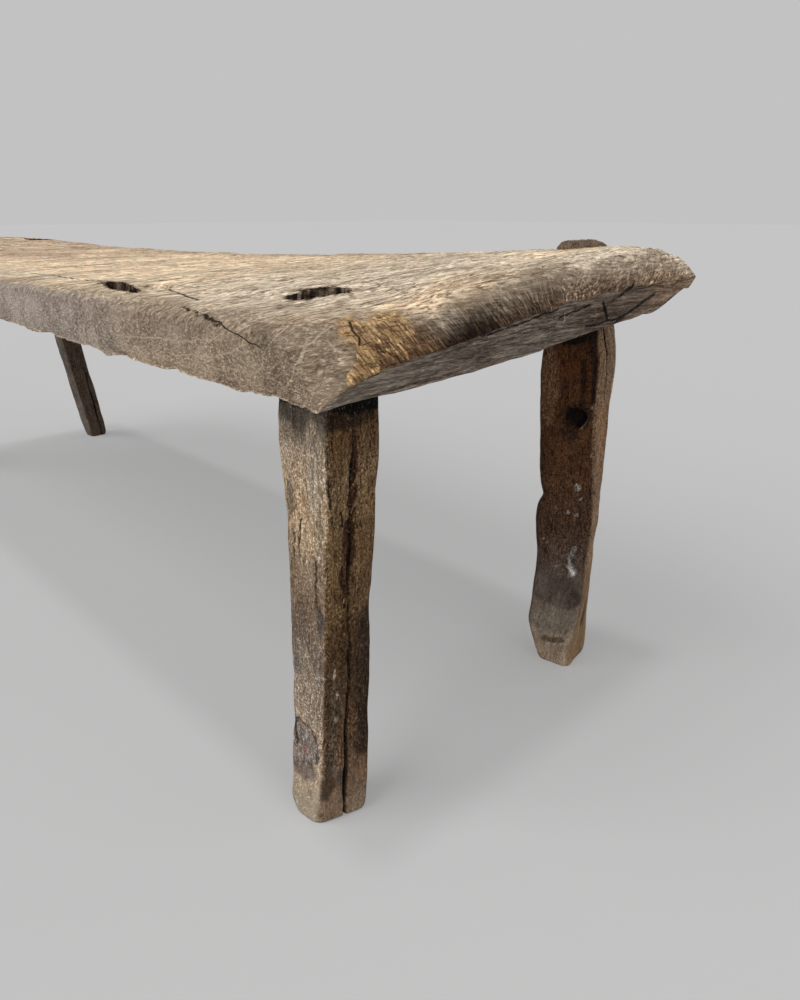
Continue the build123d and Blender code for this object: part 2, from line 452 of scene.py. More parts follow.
# %% [markdown]
# The shape of the plank
#
# The plank is thickest at the near end and worn into a hollow towards the far one. Its worn top and its
# underside are heights over the floor, on curves through a few chosen places. A setback is a place along
# the plank from its near end and an inset is a place across it from its front face. At each end the top is
# cut down to the end's edge by an axe, the front corner is knocked off by a third, sloping plane, and the
# underside is cut up to the same edge. The lowest of the cuts is what is left of the top.

# %% The shape of the plank
LENGTH = CAD_HIGH[0] - CAD_LOW[0]
PLANK_WIDTH = 0.460
NOSE_KNOTS = (0, 0.0105, 0.045, 0.12)
NOSE_REACH = (0.0172, 0.0160, 0.0072, 0)

TOP_INSETS = np.array((0, 7, 21, 60, 92, 160, 230, 300, 368, 410, 442, 460)) * MM
TOP_SETBACKS = np.array((20, 45, 120, 300, 600, 960, 1260, 1402, 1478, 1500)) * MM
TOP_HEIGHTS = (
    (431, 437, 439, 441, 442, 454, 462, 467, 470, 472, 470, 464),
    (432, 437, 439, 441, 442, 453, 461, 466, 470, 472, 471, 466),
    (430, 435, 438, 440, 445, 452, 458, 463, 467, 468, 467, 463),
    (431, 435, 437, 439, 441, 445, 448, 451, 454, 457, 458, 455),
    (429, 432, 434, 435, 436, 437, 438, 440, 441, 443, 444, 440),
    (427, 431, 433, 433, 434, 434, 434, 434, 434, 435, 436, 432),
    (427, 432, 435, 437, 438, 438, 438, 438, 437, 436, 435, 430),
    (431, 436, 439, 442, 444, 446, 447, 448, 447, 441, 438, 433),
    (432, 437, 440, 444, 447, 449, 451, 452, 447, 440, 437, 433),
    (432, 437, 440, 444, 447, 449, 451, 452, 447, 440, 437, 433),
)
UNDER_INSETS = np.array((0, 115, 230, 345, 423, 460)) * MM
UNDER_SETBACKS = np.array((10, 45, 120, 300, 600, 960, 1260, 1402, 1478)) * MM
UNDER_HEIGHTS = (
    (388, 389, 395, 407, 418, 432),
    (387, 390, 396, 403, 408, 404),
    (387, 389, 392, 397, 402, 408),
    (387, 389, 390, 392, 396, 402),
    (390, 391, 391, 392, 393, 396),
    (390, 391, 391, 391, 392, 394),
    (390, 390, 391, 391, 392, 394),
    (390, 390, 391, 392, 392, 395),
    (391, 391, 392, 393, 394, 398),
)
EDGE_INSETS = np.array((0, 20, 41, 71, 129, 177, 230, 269, 350, 440, 478)) * MM
NEAR_EDGE_HEIGHTS = (390.5, 400, 405, 411, 416.5, 424, 431, 436, 441, 443.5, 444)
FAR_EDGE_HEIGHTS = (408, 408, 409, 410, 411, 413, 417, 418, 418, 418, 418)
BEVEL_INSETS = np.array((0, 60, 100, 150, 330, 400, 478)) * MM
BEVEL_SLOPES = (2.2, 1.6, 1.5, 1.9, 1.9, 1.7, 1.0)
UNDERCUT_SLOPE = 2.6
FAR_BEVEL_SLOPE = 1.7
FAR_UNDERCUT_SLOPE = 2.0
EDGE_HALF = 0.8
NOSE_ROUND = 8.0
NOSE_ROUND_FROM = (0.24, 0.36)
NOSE_ROUND_TO = (0.38, 0.44)
NOSE_ROUND_DEPTH = 0.0035
EDGE_WANDER = 1.7
CORNER_RISE = (0.98, 0.82)
LEAST_THICKNESS = 0.0014
FACE_LEAN = 0.0015

STATIONS = spaced(
    ((0.006, 0.0006), (0.03, 0.0008), (0.07, 0.0012), (0.16, 0.0016), (0.27, 0.0027), (0.40, 0.0022))
    + ((0.80, 0.0062), (1.34, 0.0095), (1.46, 0.0032), (LENGTH - 0.012, 0.0035), (LENGTH, 0.0012))
)
TOP_PLACES = spaced(((0.024, 0.0016), (0.140, 0.0020), (PLANK_WIDTH, 0.0042))) / PLANK_WIDTH
UNDER_PLACES = np.linspace(1, 0, 40)
FACE_PLACES = np.linspace(0, 1, 20)[1:-1]
BACK_PLACES = np.linspace(1, 0, 12)[1:-1]


def nose_rise(setback, inset):
    """How much steeper than the two cuts the end's worn back corner starts, in millimetres: an exponential
    that has almost reached its full height a few millimetres in."""
    full = NOSE_ROUND * smooth_step(inset, *NOSE_ROUND_FROM) * (1 - smooth_step(inset, *NOSE_ROUND_TO))
    return full * (1 - np.exp(-setback / NOSE_ROUND_DEPTH))


def near_edge_height(inset):
    """Height of the near end's edge: its curve and, behind the middle, two waves for where it broke away."""
    level = curve_through(inset, EDGE_INSETS, NEAR_EDGE_HEIGHTS)
    waves = np.sin(inset / 0.0081 + 0.6) + 0.7 * np.sin(inset / 0.0037 + 2.0)
    return level + EDGE_WANDER * waves * smooth_step(inset, 0.16, 0.28) * (1 - smooth_step(inset, 0.42, 0.46))


def top_cuts(setback, inset):
    """Heights in millimetres of the worn top, of both end bevels and of the knocked-off corner's plane."""
    along = curve_through(setback[:, 0], TOP_SETBACKS, TOP_HEIGHTS)
    worn = [curve_through(row, TOP_INSETS, heights) for row, heights in zip(inset, along)]
    near_edge = near_edge_height(inset)
    far_edge = curve_through(inset, EDGE_INSETS, FAR_EDGE_HEIGHTS)
    slope = curve_through(inset, BEVEL_INSETS, BEVEL_SLOPES)
    from_corner = CORNER_RISE[0] * setback + CORNER_RISE[1] * inset
    worn_nose = nose_rise(setback, inset)
    return {
        "worn": np.stack(worn),
        "bevel": near_edge + EDGE_HALF + slope * setback / MM + worn_nose,
        "far_bevel": far_edge + EDGE_HALF + FAR_BEVEL_SLOPE * (LENGTH - setback) / MM,
        "corner": NEAR_EDGE_HEIGHTS[0] + EDGE_HALF + from_corner / MM,
    }


def top_height(setback, inset):
    """Height of the top: the lowest of the worn top, the two end bevels and the knocked-off corner."""
    cuts = top_cuts(setback, inset)
    height = lower_of(cuts["worn"], cuts["bevel"], 9.0)
    height = lower_of(height, cuts["far_bevel"], 8.0)
    return lower_of(height, cuts["corner"], 4.0) * MM


def under_height(setback, inset):
    """Height of the underside: the highest of its rough face and the cuts up to the two end edges."""
    along = curve_through(setback[:, 0], UNDER_SETBACKS, UNDER_HEIGHTS)
    rough = np.stack([curve_through(row, UNDER_INSETS, heights) for row, heights in zip(inset, along)])
    near_edge = near_edge_height(inset)
    far_edge = curve_through(inset, EDGE_INSETS, FAR_EDGE_HEIGHTS)
    near_cut = near_edge - EDGE_HALF - UNDERCUT_SLOPE * setback / MM - nose_rise(setback, inset)
    far_cut = far_edge - EDGE_HALF - FAR_UNDERCUT_SLOPE * (LENGTH - setback) / MM
    height = -lower_of(-rough, -near_cut, 6.0)
    return -lower_of(-height, -far_cut, 6.0) * MM


def plank_rings():
    """Setback, inset and height of each point: every ring runs back over the top, down the back, forward
    under the plank and up its front face, whose foot is a little rounded."""
    setback = STATIONS[:, None]
    width = PLANK_WIDTH + curve_through(STATIONS, NOSE_KNOTS, NOSE_REACH)[:, None]
    top_inset = width * TOP_PLACES[None]
    under_inset = width * UNDER_PLACES[None]
    top = top_height(setback, top_inset)
    limit = top_height(setback, under_inset) - LEAST_THICKNESS
    under = np.minimum(under_height(setback, under_inset), limit)
    back = top[:, -1:] + (under[:, :1] - top[:, -1:]) * BACK_PLACES[None]
    face = under[:, -1:] + (top[:, :1] - under[:, -1:]) * FACE_PLACES[None]
    face_inset = FACE_LEAN * (1 - smooth_step(FACE_PLACES, 0, 0.12))[None] + 0 * face
    heights = np.concatenate([top, back, under, face], 1)
    insets = np.concatenate([top_inset, width + 0 * back, under_inset, face_inset], 1)
    return setback + 0 * heights, insets, heights


setbacks, insets, heights = plank_rings()
TOP_COUNT = len(TOP_PLACES)
print("stations", len(STATIONS), "points in a ring", heights.shape[1])

# %% [markdown]
# Mortises and the knot hole
#
# Three of the tenons have shrunk below the top, so each mortise shows as a ragged, straight-sided pocket,
# and a knot has rotted out behind the front face. A pocket is a drop of the top's points inside an outline,
# with a share of painted shade inside it and on a ring round its rim.
# Points that lie close to the outline are first slid onto it, one row just inside and one just outside, so
# that the wall comes out steep and clean on a grid that doesn't follow it.

# %% Mortises and the knot hole
POCKETS = {
    "near_front": ((0.1225, 0.0990), (0.0195, 0.0225), 1.5, 0.0170, 0.34, 0.13, 0.0),
    "far_front": ((1.3960, 0.0960), (0.0225, 0.0270), 2.4, 0.0170, 0.12, 0.18, 0.0),
    "far_back": ((1.4050, 0.3520), (0.0225, 0.0270), 2.4, 0.0170, 0.12, 0.18, 0.0),
    "knot": ((0.3640, 0.0455), (0.0590, 0.0115), 1.35, 0.0300, 0.26, 0.24, 0.24),
}
WALL = 0.012
POCKET_SEED = 71


def sink_pocket(setback, inset, height, middle, half, power, depth, ragged, slide, lean):
    """Drops the points inside a rounded outline. Reach is 1 on the outline and 0 in the middle: the root of
    the summed powers of both offsets over the half sizes, over a ragged factor that turns with the angle.
    The middle line of the outline leans: it moves across by a share of the way along."""
    along = (setback - middle[0]) / half[0]
    level = middle[1] + lean * (setback - middle[0])
    across = (inset - level) / half[1]
    angle = np.arctan2(across, along)
    circle = np.stack([np.cos(angle), np.sin(angle), 0 * angle], -1)
    outline = 1 + ragged * noise_at(circle + depth * 99, (0.45, 0.45, 0.45), POCKET_SEED, 2)
    reach = (np.abs(along) ** power + np.abs(across) ** power) ** (1 / power) / outline
    slid = np.where((reach < 1) & (reach > 1 - slide), 1 - WALL, reach)
    slid = np.where((reach >= 1) & (reach < 1 + slide), 1 + WALL, slid)
    factor = slid / np.maximum(reach, 1e-6)
    setback = middle[0] + (setback - middle[0]) * factor
    inset = middle[1] + lean * (setback - middle[0]) + (inset - level) * factor
    inside = (slid < 1).astype(float)
    # Painted shade: the share returned darkens the pocket and a ring just outside its edge.
    rim = np.where(slid < 1 + 1.5 * WALL, 1.0, 0.45 * np.exp(-(((slid - 1) / 0.16) ** 2)))
    floor_share = 1 - 0.35 * np.clip(slid, 0, 1) ** 3
    return setback, inset, height - depth * floor_share * inside, np.maximum(inside, rim)


# How much painted shade each point of the top gets from the pockets and the knot hole.
holes = np.zeros_like(heights)
top_part = np.s_[:, 1 : TOP_COUNT - 1]
for pocket in POCKETS.values():
    spot_setbacks, spot_insets = setbacks[top_part], insets[top_part]
    moved = sink_pocket(spot_setbacks, spot_insets, heights[top_part], *pocket)
    setbacks[top_part], insets[top_part], heights[top_part] = moved[:3]
    holes[top_part] = np.maximum(holes[top_part], moved[3])
hollow = spot(setbacks, insets, (0.322, 0.062), (0.034, 0.018), 0.2) * (heights > 0.41)
heights[top_part] -= (0.0045 * hollow)[top_part]
# Painted shade in the worn hollow beside the knot hole.
holes = np.maximum(holes, 0.6 * spot(setbacks, insets, (0.336, 0.060), (0.026, 0.011), 0.1) * (heights > 0.41))
print("points in holes", int((holes > 0.9).sum()))

# %% [markdown]
# Relief of the plank
#
# The wood has weathered along its grain, which runs across the plank: soft fibres have gone and hard ones
# stand up as ridges. Long, thin noise cells give the ridges, large ones the worn hollows and the adze's
# scoops, and small ones the chips along the arrises. All of it moves the real points, because the top is
# seen at a low angle, where a shader's bump alone would look flat.

# %% Relief of the plank
points = np.stack([CAD_HIGH[0] - setbacks, CAD_LOW[1] + insets, heights], -1)
normals = grid_normals(points)
up = smooth_step(normals[..., 2], 0.45, 0.9)
down = smooth_step(-normals[..., 2], 0.45, 0.9)
front = smooth_step(-normals[..., 1], 0.5, 0.9)
endward = smooth_step(np.abs(normals[..., 0]), 0.3, 0.6)
from_ends = np.minimum(setbacks, LENGTH - setbacks)
fade = smooth_step(from_ends, 0.0002, 0.004)

ridges = noise_at(points, (0.0060, 0.085, 0.0060), 11, 2)
lumps = noise_at(points, (0.026, 0.024, 0.020), 59, 3) * smooth_step(insets, 0.20, 0.32)
fine_ridges = noise_at(points, (0.0028, 0.030, 0.0028), 13, 2)
hollows = noise_at(points, (0.070, 0.100, 0.070), 23, 2)
scoops = noise_at(points, (0.018, 0.050, 0.075), 37, 2)
grit = noise_at(points, (0.0045, 0.0045, 0.0045), 41, 2)
torn_fibres = noise_at(points, (0.016, 0.0055, 0.0080), 47, 2)
boards = noise_at(points, (0.055, 0.040, 0.055), 53, 2)

relief = up * (0.00048 * ridges + 0.00030 * fine_ridges + 0.0010 * hollows)
relief += front * (0.00070 * scoops + 0.00020 * grit - 0.0006)
relief += down * (0.0016 * boards + 0.0004 * ridges)
relief += endward * (0.00060 * torn_fibres + 0.00035 * ridges + 0.0004 * boards + 0.0013 * lumps)
relief += holes * 0.0016 * grit
points += normals * (relief * fade)[..., None]

front_foot = heights[:, TOP_COUNT + len(BACK_PLACES) + len(UNDER_PLACES) - 1][:, None]
near_foot = 1 - smooth_step(np.hypot(insets, heights - front_foot), 0.001, 0.008)
chipped = smooth_step(noise_at(points, (0.034, 0.030, 0.030), 61, 4), 0.10, 1.10)
points[..., 2] += fade * near_foot * 0.0042 * chipped
torn_out = spot(setbacks, heights, (0.272, 0.386), (0.016, 0.010), 0.3)
points[..., 2] += near_foot * 0.0014 * torn_out - near_foot * 0.0030 * spot(setbacks, heights, (0.315, 0.388), (0.02, 0.01))
near_arris = (1 - smooth_step(insets, 0.004, 0.026)) * (heights > front_foot + 0.02)
frayed = smooth_step(noise_at(points, (0.0055, 0.060, 0.060), 67, 2), -0.05, 0.75)
points[..., 2] -= fade * near_arris * 0.0026 * frayed
points = np.clip(points, CAD_LOW, CAD_HIGH)

# %% [markdown]
# Painting the plank
#
# Large changes of colour follow places on the plank, not noise: the sun-bleached middle of the top, its
# browner back edge, the grey front face, the dark band of the end's bevel, the grey undercut below it and
# the fresh orange wood where the corner was bruised. The pockets and the knot hole get painted shade: they
# are painted near black, with a darker ring round their edges. Each is a mask worked out at every point, and
# the masks mix a handful of wood colours into one painted layer. The finish adds the grain to it.

# %% Painting the plank
WARM_TAN = (0.78, 0.59, 0.395)
TAN = (0.66, 0.525, 0.370)
GREYED_TAN = (0.55, 0.450, 0.335)
BACK_BROWN = (0.42, 0.315, 0.215)
FAR_BROWN = (0.47, 0.340, 0.235)
FACE_GREY = (0.400, 0.328, 0.270)
FACE_TAUPE = (0.362, 0.272, 0.191)
BEVEL_DARK = (0.028, 0.0130, 0.0060)
BEVEL_LIGHT = (0.315, 0.208, 0.134)
BRUISE_BROWN = (0.270, 0.150, 0.074)
SEEP_BROWN = (0.24, 0.175, 0.125)
UNDERCUT_GREY = (0.198, 0.158, 0.124)
UNDERCUT_BROWN = (0.155, 0.108, 0.082)
UNDER_BROWN = (0.20, 0.155, 0.115)
FRESH_ORANGE = (1.0, 0.640, 0.310)
FRESH_BROWN = (0.50, 0.240, 0.092)
# HOLE_BROWN and HOLE_BRIGHT are the painted shade inside the pockets and the knot hole; HOLE_BROWN also darkens a torn
# chip at the front face's foot.
HOLE_BROWN = (0.020, 0.012, 0.008)
FACE_SHADE = (0.83, 0.83, 0.82)
TOP_SHADE = (0.92, 0.88, 0.84)
HOLE_BRIGHT = (0.420, 0.300, 0.200)
BRUISE_TAIL = ((0.046, 0.4230), (0.045, 0.4140), (0.036, 0.4060), (0.031, 0.4020))


def cut_shares(setback, inset):
    """How much of the near bevel and of the knocked-off corner shows at each point of the top."""
    cuts = top_cuts(setback, inset)
    others = np.minimum(cuts["worn"], cuts["corner"])
    bevel = smooth_step(others - cuts["bevel"], -1.0, 30.0)
    corner = smooth_step(np.minimum(cuts["worn"], cuts["bevel"]) - cuts["corner"], -1.5, 1.5)
    return bevel, corner


is_top = (np.arange(heights.shape[1]) < TOP_COUNT)[None] * np.ones_like(heights)
bevel_share, corner_share = (share * is_top for share in cut_shares(setbacks, insets))
by_corner = (1 - smooth_step(insets, 0.018, 0.025)) * (1 - smooth_step(setbacks, 0.030, 0.050))
worn_over = 1 - smooth_step(insets + 0.004 * frayed, 0.0035, 0.0100)
face_share = np.maximum(front * (1 - is_top), is_top * np.maximum(by_corner, worn_over))
face_share = np.maximum(face_share, corner_share)
bevel_share = bevel_share * (1 - by_corner)
undercut_share = (1 - is_top) * (insets > 0.002) * (1 - smooth_step(setbacks, 0.016, 0.034))

patches = noise_at(points, (0.11, 0.16, 0.11), 83, 3)
colours = np.ones((*heights.shape, 3)) * np.where(is_top[..., None] > 0, TAN, FACE_GREY)
warm = smooth_step(setbacks, 0.26, 0.46) * (1 - smooth_step(setbacks, 1.15, 1.35))
colours = paint_over(colours, WARM_TAN, warm * smooth_step(insets, 0.05, 0.12) * (0.85 + 0.4 * patches))
colours = paint_over(colours, GREYED_TAN, 1 - smooth_step(setbacks, 0.06, 0.40) + 0.35 * patches)
back_strip = smooth_step(insets, 0.370, 0.435) * smooth_step(setbacks, 0.15, 0.55)
colours = paint_over(colours, BACK_BROWN, 0.85 * back_strip)
colours = paint_over(colours, BACK_BROWN, 0.45 * (1 - smooth_step(insets, 0.010, 0.060)))
colours = paint_over(colours, GREYED_TAN, smooth_step(insets, 0.36, 0.45) * (1 - smooth_step(setbacks, 0.1, 0.3)))
colours = paint_over(colours, FAR_BROWN, smooth_step(setbacks, 0.80, 1.05) * (0.75 + 0.3 * patches))
seep = noise_at(points, (0.045, 0.120, 0.060), 97, 3)
colours = paint_over(colours, SEEP_BROWN, 0.42 * smooth_step(seep, 0.15, 0.9))
colours = paint_over(colours, WARM_TAN, 0.55 * smooth_step(-seep, 0.25, 0.9))

face_colour = np.ones_like(colours) * FACE_GREY
face_colour = paint_over(face_colour, FACE_TAUPE, 1 - smooth_step(setbacks, 0.12, 0.46) + 0.3 * patches)
by_foot = 1 - smooth_step(heights - front_foot, 0.0005, 0.0065)
face_colour = paint_over(face_colour, HOLE_BROWN, 0.9 * by_foot * torn_out)
colours = paint_over(colours, UNDER_BROWN, (1 - is_top) * (insets > 0.002))
colours += (face_colour - colours) * face_share[..., None]
colours = paint_over(colours, UNDERCUT_GREY, undercut_share)
shaded = smooth_step(insets, 0.27, 0.31) * (1 - smooth_step(insets, 0.37, 0.42))
colours = paint_over(colours, UNDERCUT_BROWN, 0.80 * undercut_share * shaded)
colours = paint_over(colours, BEVEL_LIGHT, 0.8 * undercut_share * smooth_step(insets, 0.37, 0.42))
bevel_colour = np.ones_like(colours) * BEVEL_DARK
bevel_colour = paint_over(bevel_colour, BEVEL_LIGHT, smooth_step(insets, 0.14, 0.34) + 0.30 * patches)
scorched = spot(insets, points[..., 2], (0.074, 0.420), (0.052, 0.026), 0.3)
colours += (bevel_colour - colours) * bevel_share[..., None]
colours = paint_over(colours, BRUISE_BROWN, 0.80 * scorched * is_top * (1 - smooth_step(setbacks, 0.020, 0.034)))
fresh = spot(insets, points[..., 2], (0.074, 0.4335), (0.027, 0.0150), 0.1)
fresh = np.maximum(fresh, 0.85 * spot(insets, points[..., 2], (0.044, 0.4320), (0.022, 0.0150), 0.1))
fresh = np.maximum(fresh, 0.30 * spot(insets, points[..., 2], (0.066, 0.4270), (0.042, 0.0230), 0.2))
fresh = np.maximum(fresh, 0.95 * stroke(insets, points[..., 2], BRUISE_TAIL, 0.0085))
fresh = fresh * is_top * (1 - smooth_step(setbacks, 0.020, 0.034))
# Painted shade: the pockets and the knot hole are painted near black, with some brighter wood in them.
inner = smooth_step(grit, -0.1, 1.3)[..., None] * (np.array(HOLE_BRIGHT) - HOLE_BROWN)
colours += (HOLE_BROWN + inner - colours) * (holes * 0.985)[..., None]
by_end = 1 - smooth_step(setbacks, 0.03, 0.10)
shades = np.array(FACE_SHADE) - 1
colours *= 1 + shades * (by_end * face_share * (fresh < 0.2))[..., None]
shades = np.array(TOP_SHADE) - 1
by_end = by_end * is_top * (1 - face_share) * (1 - bevel_share)
colours *= 1 + shades * (by_end * (1 - smooth_step(insets, 0.20, 0.30)))[..., None]
colours *= (1 + 0.10 * by_end * smooth_step(insets, 0.26, 0.36))[..., None]
colours *= (1 + 0.07 * patches)[..., None]
colours = np.clip(colours, 0.004, 1)
marks = np.stack([bevel_share, fresh - undercut_share, face_share], -1)
print("painted points", colours.shape[0] * colours.shape[1], "fresh", int((fresh > 0.5).sum()))

# %% [markdown]
# The finish of the plank
#
# Old, dry wood has no shine. What makes it look real is the grain at three sizes: broad streaks, fine
# lines and hair-thin fibres, all of one solid block whose fibres run across the plank. Noise whose cells
# are drawn out along Y gives lines on the top and on the ends, and end-grain speckle on the front face,
# with no seam between them. Single cracks and the pale arcs on the front face are lines at places that a
# ramp gives along their length.

# %% Hairlines


def hairline(finish, along, across, places, half_width, wander):
    """A crack or streak of a finish. Its middle follows places (along, across), between which it is
    straight: one ramp holds them as shares of their own span. It is 1 on the line and 0 beside it."""
    starts = [place[0] for place in places]
    levels = [place[1] for place in places]
    low, high = min(levels), max(levels) + 1e-4
    first, last = starts[0], starts[-1]
    stops = [((a - first) / (last - first), ((b - low) / (high - low),) * 3) for a, b in places]
    share = (along - first) / (last - first)
    middle = finish.node("ShaderNodeValToRGB", {"stops": stops}, {0: share})
    level = finish.parts(middle)[0] * (high - low) + low
    apart = abs(across + wander - level)
    margin = 0.02
    within = share.step(-margin, margin) * share.step(1 + margin, 1 - margin)
    return apart.step(half_width * 1.6, half_width * 0.6) * within


# %% The finish of the plank
FACE_ARCS = (
    ((0.1760, 0.4118), (0.1540, 0.4151), (0.1220, 0.4202), (0.1091, 0.4258), (0.1010, 0.4330)),
    ((0.1812, 0.4012), (0.1486, 0.4054), (0.1242, 0.4071), (0.0993, 0.4138), (0.0830, 0.4206)),
    ((0.2940, 0.4041), (0.2185, 0.4100), (0.1692, 0.4141)),
)
FACE_RIPPLES = (
    ((0.4375, 0.0416), (0.4297, 0.0439), (0.4168, 0.0599), (0.4093, 0.0619), (0.4037, 0.0544), (0.4004, 0.0412)),
    ((0.4372, 0.0210), (0.4311, 0.0243), (0.4255, 0.0259), (0.4167, 0.0230), (0.4064, 0.0276), (0.4000, 0.0350)),
    ((0.4288, 0.0189), (0.4220, 0.0117)),
    ((0.4320, 0.0780), (0.4200, 0.0830), (0.4100, 0.0760)),
)
TOP_CRACKS = (
    ((0.648, 0.0620), (0.600, 0.0598), (0.503, 0.0530), (0.452, 0.0517), (0.415, 0.0551)),
    ((0.325, 0.0640), (0.305, 0.0588), (0.281, 0.0539), (0.247, 0.0452), (0.196, 0.0352)),
    ((0.1854, 0.0147), (0.1481, 0.0070), (0.1230, 0.0042), (0.1100, 0.0020)),
)
FACE_CRACK = ((0.128, 0.4340), (0.112, 0.4316), (0.097, 0.4280), (0.062, 0.4215))
END_SPLITS = (
    (0.0018, ((0.349, 0.4105), (0.362, 0.4148), (0.382, 0.4234), (0.396, 0.4298), (0.404, 0.4320))),
    (0.0012, ((0.300, 0.4104), (0.318, 0.4112), (0.337, 0.4129), (0.357, 0.4151), (0.372, 0.4184))),
    (0.0008, ((0.150, 0.4196), (0.167, 0.4206), (0.183, 0.4227), (0.199, 0.4249), (0.215, 0.4269), (0.246, 0.4314))),
    (0.0013, ((0.328, 0.4310), (0.339, 0.4345), (0.349, 0.4391), (0.360, 0.4435))),
    (0.0009, ((0.254, 0.4231), (0.274, 0.4262), (0.294, 0.4305))),
)
END_SLIT = ((0.4314, 0.3153), (0.4229, 0.3227), (0.4131, 0.3317))
BRUISE_SLIT = ((0.4385, 0.0430), (0.4335, 0.0412), (0.4285, 0.0440), (0.4240, 0.0425))
STRAWS = (((0.4270, 0.2600), (0.4170, 0.2640)), ((0.4250, 0.2680), (0.4150, 0.2560)))
TEAR_WAY = Vector((1.0, 0.9, -1.5)).normalized()
CROSS_WAY = Vector((-1.0, 3.2, 1.75)).normalized()
ARRIS_WAY = Vector((0.60, 0.40, 0.65)).normalized()
SWIRL_MIDDLE = (-0.735, -0.006, -0.43)


def turned(finish, vector, way, stretch):
    """Coordinates along a direction and two square to it. The first is shrunk by the stretch, so that a
    noise on them is drawn out that way."""
    side = way.orthogonal().normalized()
    axes = (way * stretch, side, way.cross(side))
    dots = []
    for axis in axes:
        inputs = {0: vector, 1: tuple(axis)}
        dots.append(finish.node("ShaderNodeVectorMath", {"operation": "DOT_PRODUCT"}, inputs, "Value"))
    return finish.node("ShaderNodeCombineXYZ", None, dict(enumerate(dots)))


def crack_lines(finish, place, broken, wander):
    """All cracks of the plank as one mask: those of the top, the front face and the end."""
    x, y, z = finish.parts(place)
    setback = CAD_HIGH[0] - x
    inset = y - CAD_LOW[1]
    on_top = z.step(0.424, 0.428)
    on_end = setback.step(0.040, 0.030)
    cracks = hairline(finish, setback, z, FACE_CRACK, 0.0004, wander) * inset.step(0.012, 0.006)
    for places in TOP_CRACKS:
        line = hairline(finish, setback, inset, places, 0.0012, wander) * on_top
        cracks = cracks.math("MAXIMUM", line * (0.40 + 0.60 * broken))
    for half_width, places in END_SPLITS:
        line = hairline(finish, inset, z, places, half_width, 1.4 * wander)
        cracks = cracks.math("MAXIMUM", line * on_end * (0.72 + 0.28 * broken))
    for half_width, places in ((0.0018, END_SLIT), (0.0009, BRUISE_SLIT)):
        cracks = cracks.math("MAXIMUM", hairline(finish, z, inset, places, half_width, wander) * on_end)
    return cracks


def pale_lines(finish, place, broken, wander):
    """Pale saw and growth lines of the front face, and a few straws caught in the end."""
    x, y, z = finish.parts(place)
    setback = CAD_HIGH[0] - x
    inset = y - CAD_LOW[1]
    on_face = inset.step(0.036, 0.030)
    arcs = 0
    for places in FACE_ARCS:
        arcs = hairline(finish, setback, z, places, 0.0006, wander) * on_face + arcs
    for places in FACE_RIPPLES:
        arcs = hairline(finish, z, setback, places, 0.0006, wander) * on_face + arcs
    arcs = arcs * (0.60 + 0.40 * broken)
    for places in STRAWS:
        arcs = hairline(finish, z, inset, places, 0.0005, wander) * setback.step(0.03, 0.02) + arcs
    return arcs


